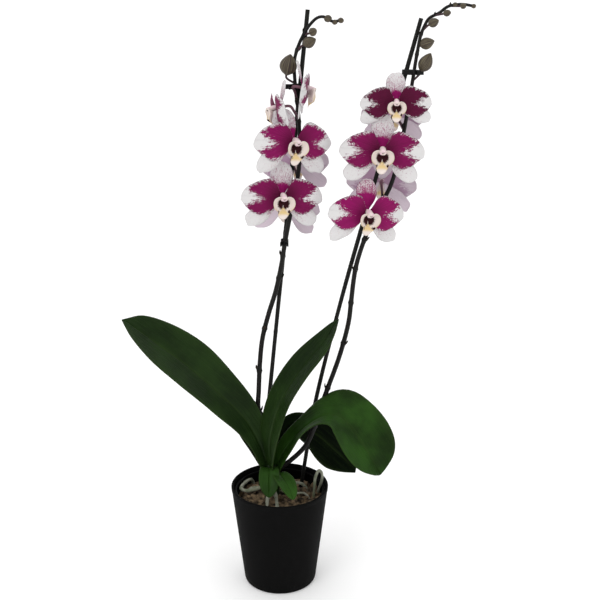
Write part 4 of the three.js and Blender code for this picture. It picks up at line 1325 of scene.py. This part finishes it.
def build_nursery_pot():
    """The thin inner pot, with a lip and drain holes cut through its floor."""
    low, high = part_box("nursery_pot")
    top, base, rim = high.z / MM, low.z / MM, (high.x - low.x) / 2 / MM
    foot = rim - POT_TAPER * (top - base)
    profile = [(0, base), (foot - 1.5, base)] + arc((foot - 1.5, base + 1.5), 1.5, -80, -5, 4)
    profile += [(foot + POT_TAPER * z, base + z) for z in np.linspace(4, top - base - 4, 12)]
    profile += arc((rim - NURSERY_LIP, top - NURSERY_LIP), NURSERY_LIP, 0, 90)
    profile += arc((rim - NURSERY_WALL - 0.4, top - NURSERY_LIP), NURSERY_LIP, 100, 175, 4)
    inside = rim - NURSERY_WALL
    profile += [(inside - POT_TAPER * z, top - z) for z in np.linspace(3, top - base - NURSERY_FLOOR - 2, 10)]
    profile += [(foot - NURSERY_WALL - 1, base + NURSERY_FLOOR), (0, base + NURSERY_FLOOR)]
    obj = new_object("nursery_pot_soft", [lathe(profile, POT_SEGMENTS)], [MATERIALS["nursery"]])
    outward(obj.data)
    drills = []
    for k in range(DRAIN_COUNT):
        angle = 2 * math.pi * k / DRAIN_COUNT
        x, y = DRAIN_RING * math.cos(angle), DRAIN_RING * math.sin(angle)
        drills.append(tube([(x, y, base - 3), (x, y, base + NURSERY_FLOOR + 3)], DRAIN_RADIUS, 32))
    drill = new_object("drain_drill", drills, [])
    outward(drill.data)
    cut = obj.modifiers.new("drains", "BOOLEAN")
    cut.operation, cut.object, cut.solver = "DIFFERENCE", drill, "EXACT"
    plain(obj)
    bpy.data.objects.remove(drill)
    seat(obj, "nursery_pot")
    finish(obj, "nursery_pot", "nursery_pot")


def chip_part(length, width, height, seed):
    """A broken slab of bark: a rounded box pushed about by layers of noise."""
    rng = np.random.default_rng(seed)
    work = bmesh.new()
    bmesh.ops.create_cube(work, size=1)
    bmesh.ops.subdivide_edges(work, edges=work.edges, cuts=7, use_grid_fill=True)
    points = np.array([v.co for v in work.verts])
    faces = [[v.index for v in f.verts] for f in work.faces]
    work.free()
    ball = unit(points)
    points = 0.72 * points + 0.28 * 0.5 * ball
    for scale, amount in ((2.2, 0.1), (5.1, 0.05), (11.0, 0.022)):
        turn, phase = rng.normal(size=(3, 3)) * scale, rng.uniform(0, 6.28, 3)
        points += amount * np.sin(points @ turn + phase)
    ledges = np.round(3 * np.sin(9 * points[:, 1] + 3 * points[:, 0])) / 3
    points[:, 2] += 0.05 * np.sign(points[:, 2]) * ledges
    size = points.max(axis=0) - points.min(axis=0)
    return Part(points / size * (length, width, height), faces)


def build_bark(density, seed):
    """A mound of bark under strewn chips, and the four large chips."""
    low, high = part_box("bark_bed")
    middle, radius = centre_of(low, high) / MM, (high.x - low.x) / 2 / MM
    edge, top, base = high.z / MM - 4, high.z / MM, low.z / MM
    rings, around = 40, 120
    theta = np.linspace(0, 2 * math.pi, around, endpoint=False)
    rng = np.random.default_rng(seed)
    layers = ((0.12, 0.8), (0.25, 0.7), (0.5, 0.5), (0.9, 0.35))
    waves = [(rng.normal(size=2) * s, rng.uniform(0, 6.28), a) for s, a in layers for _ in range(3)]
    points = [(0, 0, base)]
    outline = [(radius * 0.85, base)]
    outline += [(radius * (0.85 + 0.15 * t), base + t * (edge - base - 1)) for t in (0.02, 0.5, 1)]
    outline += [(radius * r, None) for r in np.linspace(0.995, 0.03, rings)]
    grid = []
    for r, z in outline:
        x, y = r * np.cos(theta), r * np.sin(theta)
        dome = edge - 1.4 + (top - edge) * (1 - (r / radius) ** 2)
        lumps = sum(a * np.sin(x * k[0] + y * k[1] + p) for k, p, a in waves)
        height = dome + lumps if z is None else np.full(around, z)
        grid.append(np.stack([x, y, height], axis=1))
    for ring in grid:
        points += ring.tolist()
    points.append((0, 0, float(grid[-1][:, 2].mean())))
    mound = Part(np.array(points) + (middle.x, middle.y, 0), barrel_faces(len(grid), around))
    bed = new_object("bark_bed_soft", [mound], [MATERIALS["bark"]])
    outward(bed.data)
    chip = new_object("bark_chip_model", [chip_part(14, 9, 4.2, 4)], [MATERIALS["bark"]])
    grow(bed, TREES["strewn_bark"], Chip=chip, Count=density, Lowest=(edge - 6) * MM, Seed=seed,
         Material=MATERIALS["bark"])
    bpy.data.objects.remove(chip)
    keep_above(bed.data, (base - 0.01) * MM, (radius + 0.2) * MM, (edge - 3) * MM)
    finish(bed, "bark_bed", "bark")
    for number, chip in enumerate(BARK_CHIPS):
        node = f"bark_chip_{number + 1}"
        part = chip_part(chip["length"], chip["width"], chip["height"], 20 + number)
        part.moved(Matrix.Rotation(math.radians(chip["turn"]), 4, "Z"))
        obj = new_object(f"{node}_soft", [part], [MATERIALS["bark"]])
        outward(obj.data)
        seat(obj, node)
        finish(obj, node, "bark_chip")


def keep_above(mesh, floor, radius, edge):
    """Brings strewn points that fell outside the pot, or under the bark, back inside."""
    for vertex in mesh.vertices:
        place = vertex.co
        reach = math.hypot(place.x, place.y)
        limit = radius - POT_TAPER * max(edge - place.z, 0)
        if reach > limit:
            place.x *= limit / reach
            place.y *= limit / reach
        place.z = max(place.z, floor)


# ---------------------------------------------------------------- stage
CAMERA_PLACE = (0.027, -1.204, 0.760)  # metres
CAMERA_TILT = 73.1  # degrees up from straight down
CAMERA_LENS, CAMERA_SENSOR = 60, 36


def build_stage(key, fill, ambient):
    """A pale floor that curves up behind, soft lights and the camera."""
    wide, front, back, rise = 6.0, -4.0, 2.6, 1.2
    line = [(front, 0.0), (back - rise, 0.0)]
    bend = np.linspace(0.1, math.pi / 2, 14)
    line += [(back - rise + rise * math.sin(a), rise - rise * math.cos(a)) for a in bend]
    line.append((back, 6.0))
    points = [(x, y, z) for y, z in line for x in (-wide, wide)]
    faces = [[2 * i, 2 * i + 1, 2 * i + 3, 2 * i + 2] for i in range(len(line) - 1)]
    mesh = bpy.data.meshes.new("floor")
    mesh.from_pydata(points, [], faces)
    mesh.polygons.foreach_set("use_smooth", [True] * len(faces))
    mesh.materials.append(MATERIALS["floor"])
    floor = bpy.data.objects.new("floor", mesh)
    bpy.context.scene.collection.objects.link(floor)
    made = [floor]
    aim = Vector((0.0, 0.0, 0.38))
    for name, place, size, power in (
        ("key", (-1.5, -2.2, 2.3), 1.6, key),
        ("fill", (2.2, -1.8, 1.3), 2.0, fill),
        ("top", (0.0, 0.4, 2.8), 2.2, 0.8 * fill),
    ):
        light = bpy.data.lights.new(name, "AREA")
        light.energy, light.size = power, size
        lamp = bpy.data.objects.new(name, light)
        lamp.location = place
        lamp.rotation_euler = (aim - Vector(place)).to_track_quat("-Z", "Y").to_euler()
        bpy.context.scene.collection.objects.link(lamp)
        made.append(lamp)
    world = bpy.data.worlds.new("studio")
    world.use_nodes = True
    world.node_tree.nodes["Background"].inputs[0].default_value = (1, 1, 1, 1)
    world.node_tree.nodes["Background"].inputs[1].default_value = ambient
    bpy.context.scene.world = world
    lens = bpy.data.cameras.new("camera")
    lens.lens, lens.sensor_width = CAMERA_LENS, CAMERA_SENSOR
    camera = bpy.data.objects.new("camera", lens)
    camera.location = CAMERA_PLACE
    camera.rotation_euler = (math.radians(CAMERA_TILT), 0, 0)
    bpy.context.scene.collection.objects.link(camera)
    bpy.context.scene.camera = camera
    bpy.context.scene.view_settings.view_transform = "Standard"
    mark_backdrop(*made)


# ---------------------------------------------------------------- settings
class OrchidStageSettings(bpy.types.PropertyGroup):
    key: FloatProperty(
        name="Key light", description="Power of the main softbox", default=24, min=0, unit="POWER")
    fill: FloatProperty(
        name="Fill light", description="Power of the second softbox", default=12, min=0, unit="POWER")
    ambient: FloatProperty(
        name="Ambient", description="Strength of the even light from all round", default=0.8, min=0, max=2,
        subtype="FACTOR")


class OrchidPlantSettings(bpy.types.PropertyGroup):
    waviness: FloatProperty(
        name="Waviness", description="How much the leaf edges wave", default=0.5, min=0, max=2,
        subtype="FACTOR")


class OrchidBarkSettings(bpy.types.PropertyGroup):
    count: FloatProperty(name="Chips", description="Bark chips on a square metre", default=11000, min=0)
    seed: IntProperty(name="Seed", description="Changes how the chips fall", default=4, min=0)


def colour_property(name, key):
    """A colour that a user may change, with its own value as the default."""
    return FloatVectorProperty(
        name=name, description=f"Colour of the {name.lower()}", default=COLOURS[key], size=4, min=0, max=1,
        subtype="COLOR")


class OrchidColourSettings(bpy.types.PropertyGroup):
    petal_magenta: colour_property("Petal field", "petal_magenta")
    petal_deep: colour_property("Petal heart", "petal_deep")
    petal_white: colour_property("Petal ground", "petal_white")
    leaf_top: colour_property("Leaf", "leaf_top")
    # The green of the leaves with painted light.
    leaf_young: colour_property("Young leaf", "leaf_young")
    bark_light: colour_property("Light bark", "bark_light")
    pot: colour_property("Cover pot", "pot")


# ---------------------------------------------------------------- operators
class ORCHID_OT_stage(bpy.types.Operator):
    """Add the floor, the lights and the camera"""

    bl_idname = "orchid.stage"
    bl_label = "Add Stage"

    def execute(self, context):
        settings = context.scene.orchid_stage
        build_stage(settings.key, settings.fill, settings.ambient)
        return {"FINISHED"}


class ORCHID_OT_pots(bpy.types.Operator):
    """Add the cover pot and the nursery pot inside it"""

    bl_idname = "orchid.pots"
    bl_label = "Add Pots"

    def execute(self, context):
        build_cover_pot()
        build_nursery_pot()
        return {"FINISHED"}


class ORCHID_OT_bark(bpy.types.Operator):
    """Add the bark bed and the large chips"""

    bl_idname = "orchid.bark"
    bl_label = "Add Bark"

    def execute(self, context):
        settings = context.scene.orchid_bark
        build_bark(settings.count, settings.seed)
        return {"FINISHED"}


class ORCHID_OT_leaves(bpy.types.Operator):
    """Add the crown and the leaves"""

    bl_idname = "orchid.leaves"
    bl_label = "Add Leaves"

    def execute(self, context):
        build_crown()
        for seed, node in enumerate(LEAVES):
            build_leaf(node, seed + 1, context.scene.orchid_plant.waviness)
        return {"FINISHED"}


class ORCHID_OT_roots(bpy.types.Operator):
    """Add the aerial roots"""

    bl_idname = "orchid.roots"
    bl_label = "Add Roots"

    def execute(self, context):
        for seed, node in enumerate(ROOTS):
            build_root(node, seed)
        return {"FINISHED"}


class ORCHID_OT_spikes(bpy.types.Operator):
    """Add the stakes, the flower spikes and the clips that hold them together"""

    bl_idname = "orchid.spikes"
    bl_label = "Add Spikes"

    def execute(self, context):
        for side in SPIKE_PATHS:
            build_stake(side)
            build_spike(side)
        for node in CLIPS:
            build_clip(node)
        return {"FINISHED"}


class ORCHID_OT_blooms(bpy.types.Operator):
    """Add the open flowers"""

    bl_idname = "orchid.blooms"
    bl_label = "Add Flowers"

    def execute(self, context):
        for side, blooms in BLOOMS.items():
            for number in range(len(blooms)):
                build_bloom(side, number)
        return {"FINISHED"}


class ORCHID_OT_buds(bpy.types.Operator):
    """Add the closed buds"""

    bl_idname = "orchid.buds"
    bl_label = "Add Buds"

    def execute(self, context):
        for side, buds in BUDS.items():
            for number in range(len(buds)):
                build_bud(side, number)
        return {"FINISHED"}


OPERATORS = (ORCHID_OT_stage, ORCHID_OT_pots, ORCHID_OT_bark, ORCHID_OT_leaves, ORCHID_OT_roots,
             ORCHID_OT_spikes, ORCHID_OT_blooms, ORCHID_OT_buds)
SETTINGS = {
    "orchid_stage": OrchidStageSettings,
    "orchid_plant": OrchidPlantSettings,
    "orchid_bark": OrchidBarkSettings,
    "orchid_colours": OrchidColourSettings,
}


class ORCHID_PT_panel(bpy.types.Panel):
    """Buttons and settings for the orchid's pieces"""

    bl_idname = "ORCHID_PT_panel"
    bl_label = "Orchid"
    bl_space_type = "VIEW_3D"
    bl_region_type = "UI"
    bl_category = "Orchid"

    def draw(self, context):
        for name, kind in SETTINGS.items():
            for key in kind.__annotations__:
                self.layout.prop(getattr(context.scene, name), key)
        for operator in OPERATORS:
            self.layout.operator(operator.bl_idname)


def register():
    for kind in (*SETTINGS.values(), *OPERATORS, ORCHID_PT_panel):
        bpy.utils.register_class(kind)
    for name, kind in SETTINGS.items():
        setattr(bpy.types.Scene, name, PointerProperty(type=kind))


def unregister():
    for name in SETTINGS:
        delattr(bpy.types.Scene, name)
    for kind in reversed((*SETTINGS.values(), *OPERATORS, ORCHID_PT_panel)):
        bpy.utils.unregister_class(kind)


def main():
    register()
    chosen = bpy.context.scene.orchid_colours
    COLOURS.update({key: tuple(getattr(chosen, key)) for key in OrchidColourSettings.__annotations__})
    MATERIALS.update(all_materials())
    TREES.update({"stalks": tubes_tree(), "strewn_bark": scatter_tree()})
    bpy.ops.orchid.stage()
    bpy.ops.orchid.pots()
    bpy.ops.orchid.bark()
    bpy.ops.orchid.leaves()
    bpy.ops.orchid.roots()
    bpy.ops.orchid.spikes()
    bpy.ops.orchid.blooms()
    bpy.ops.orchid.buds()
    sizes = {
        "frame": [list(corner) for corner in FRAME_BOUNDS],
        "shown": [list(corner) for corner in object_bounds()],
    }


if __name__ == "__main__":
    main()
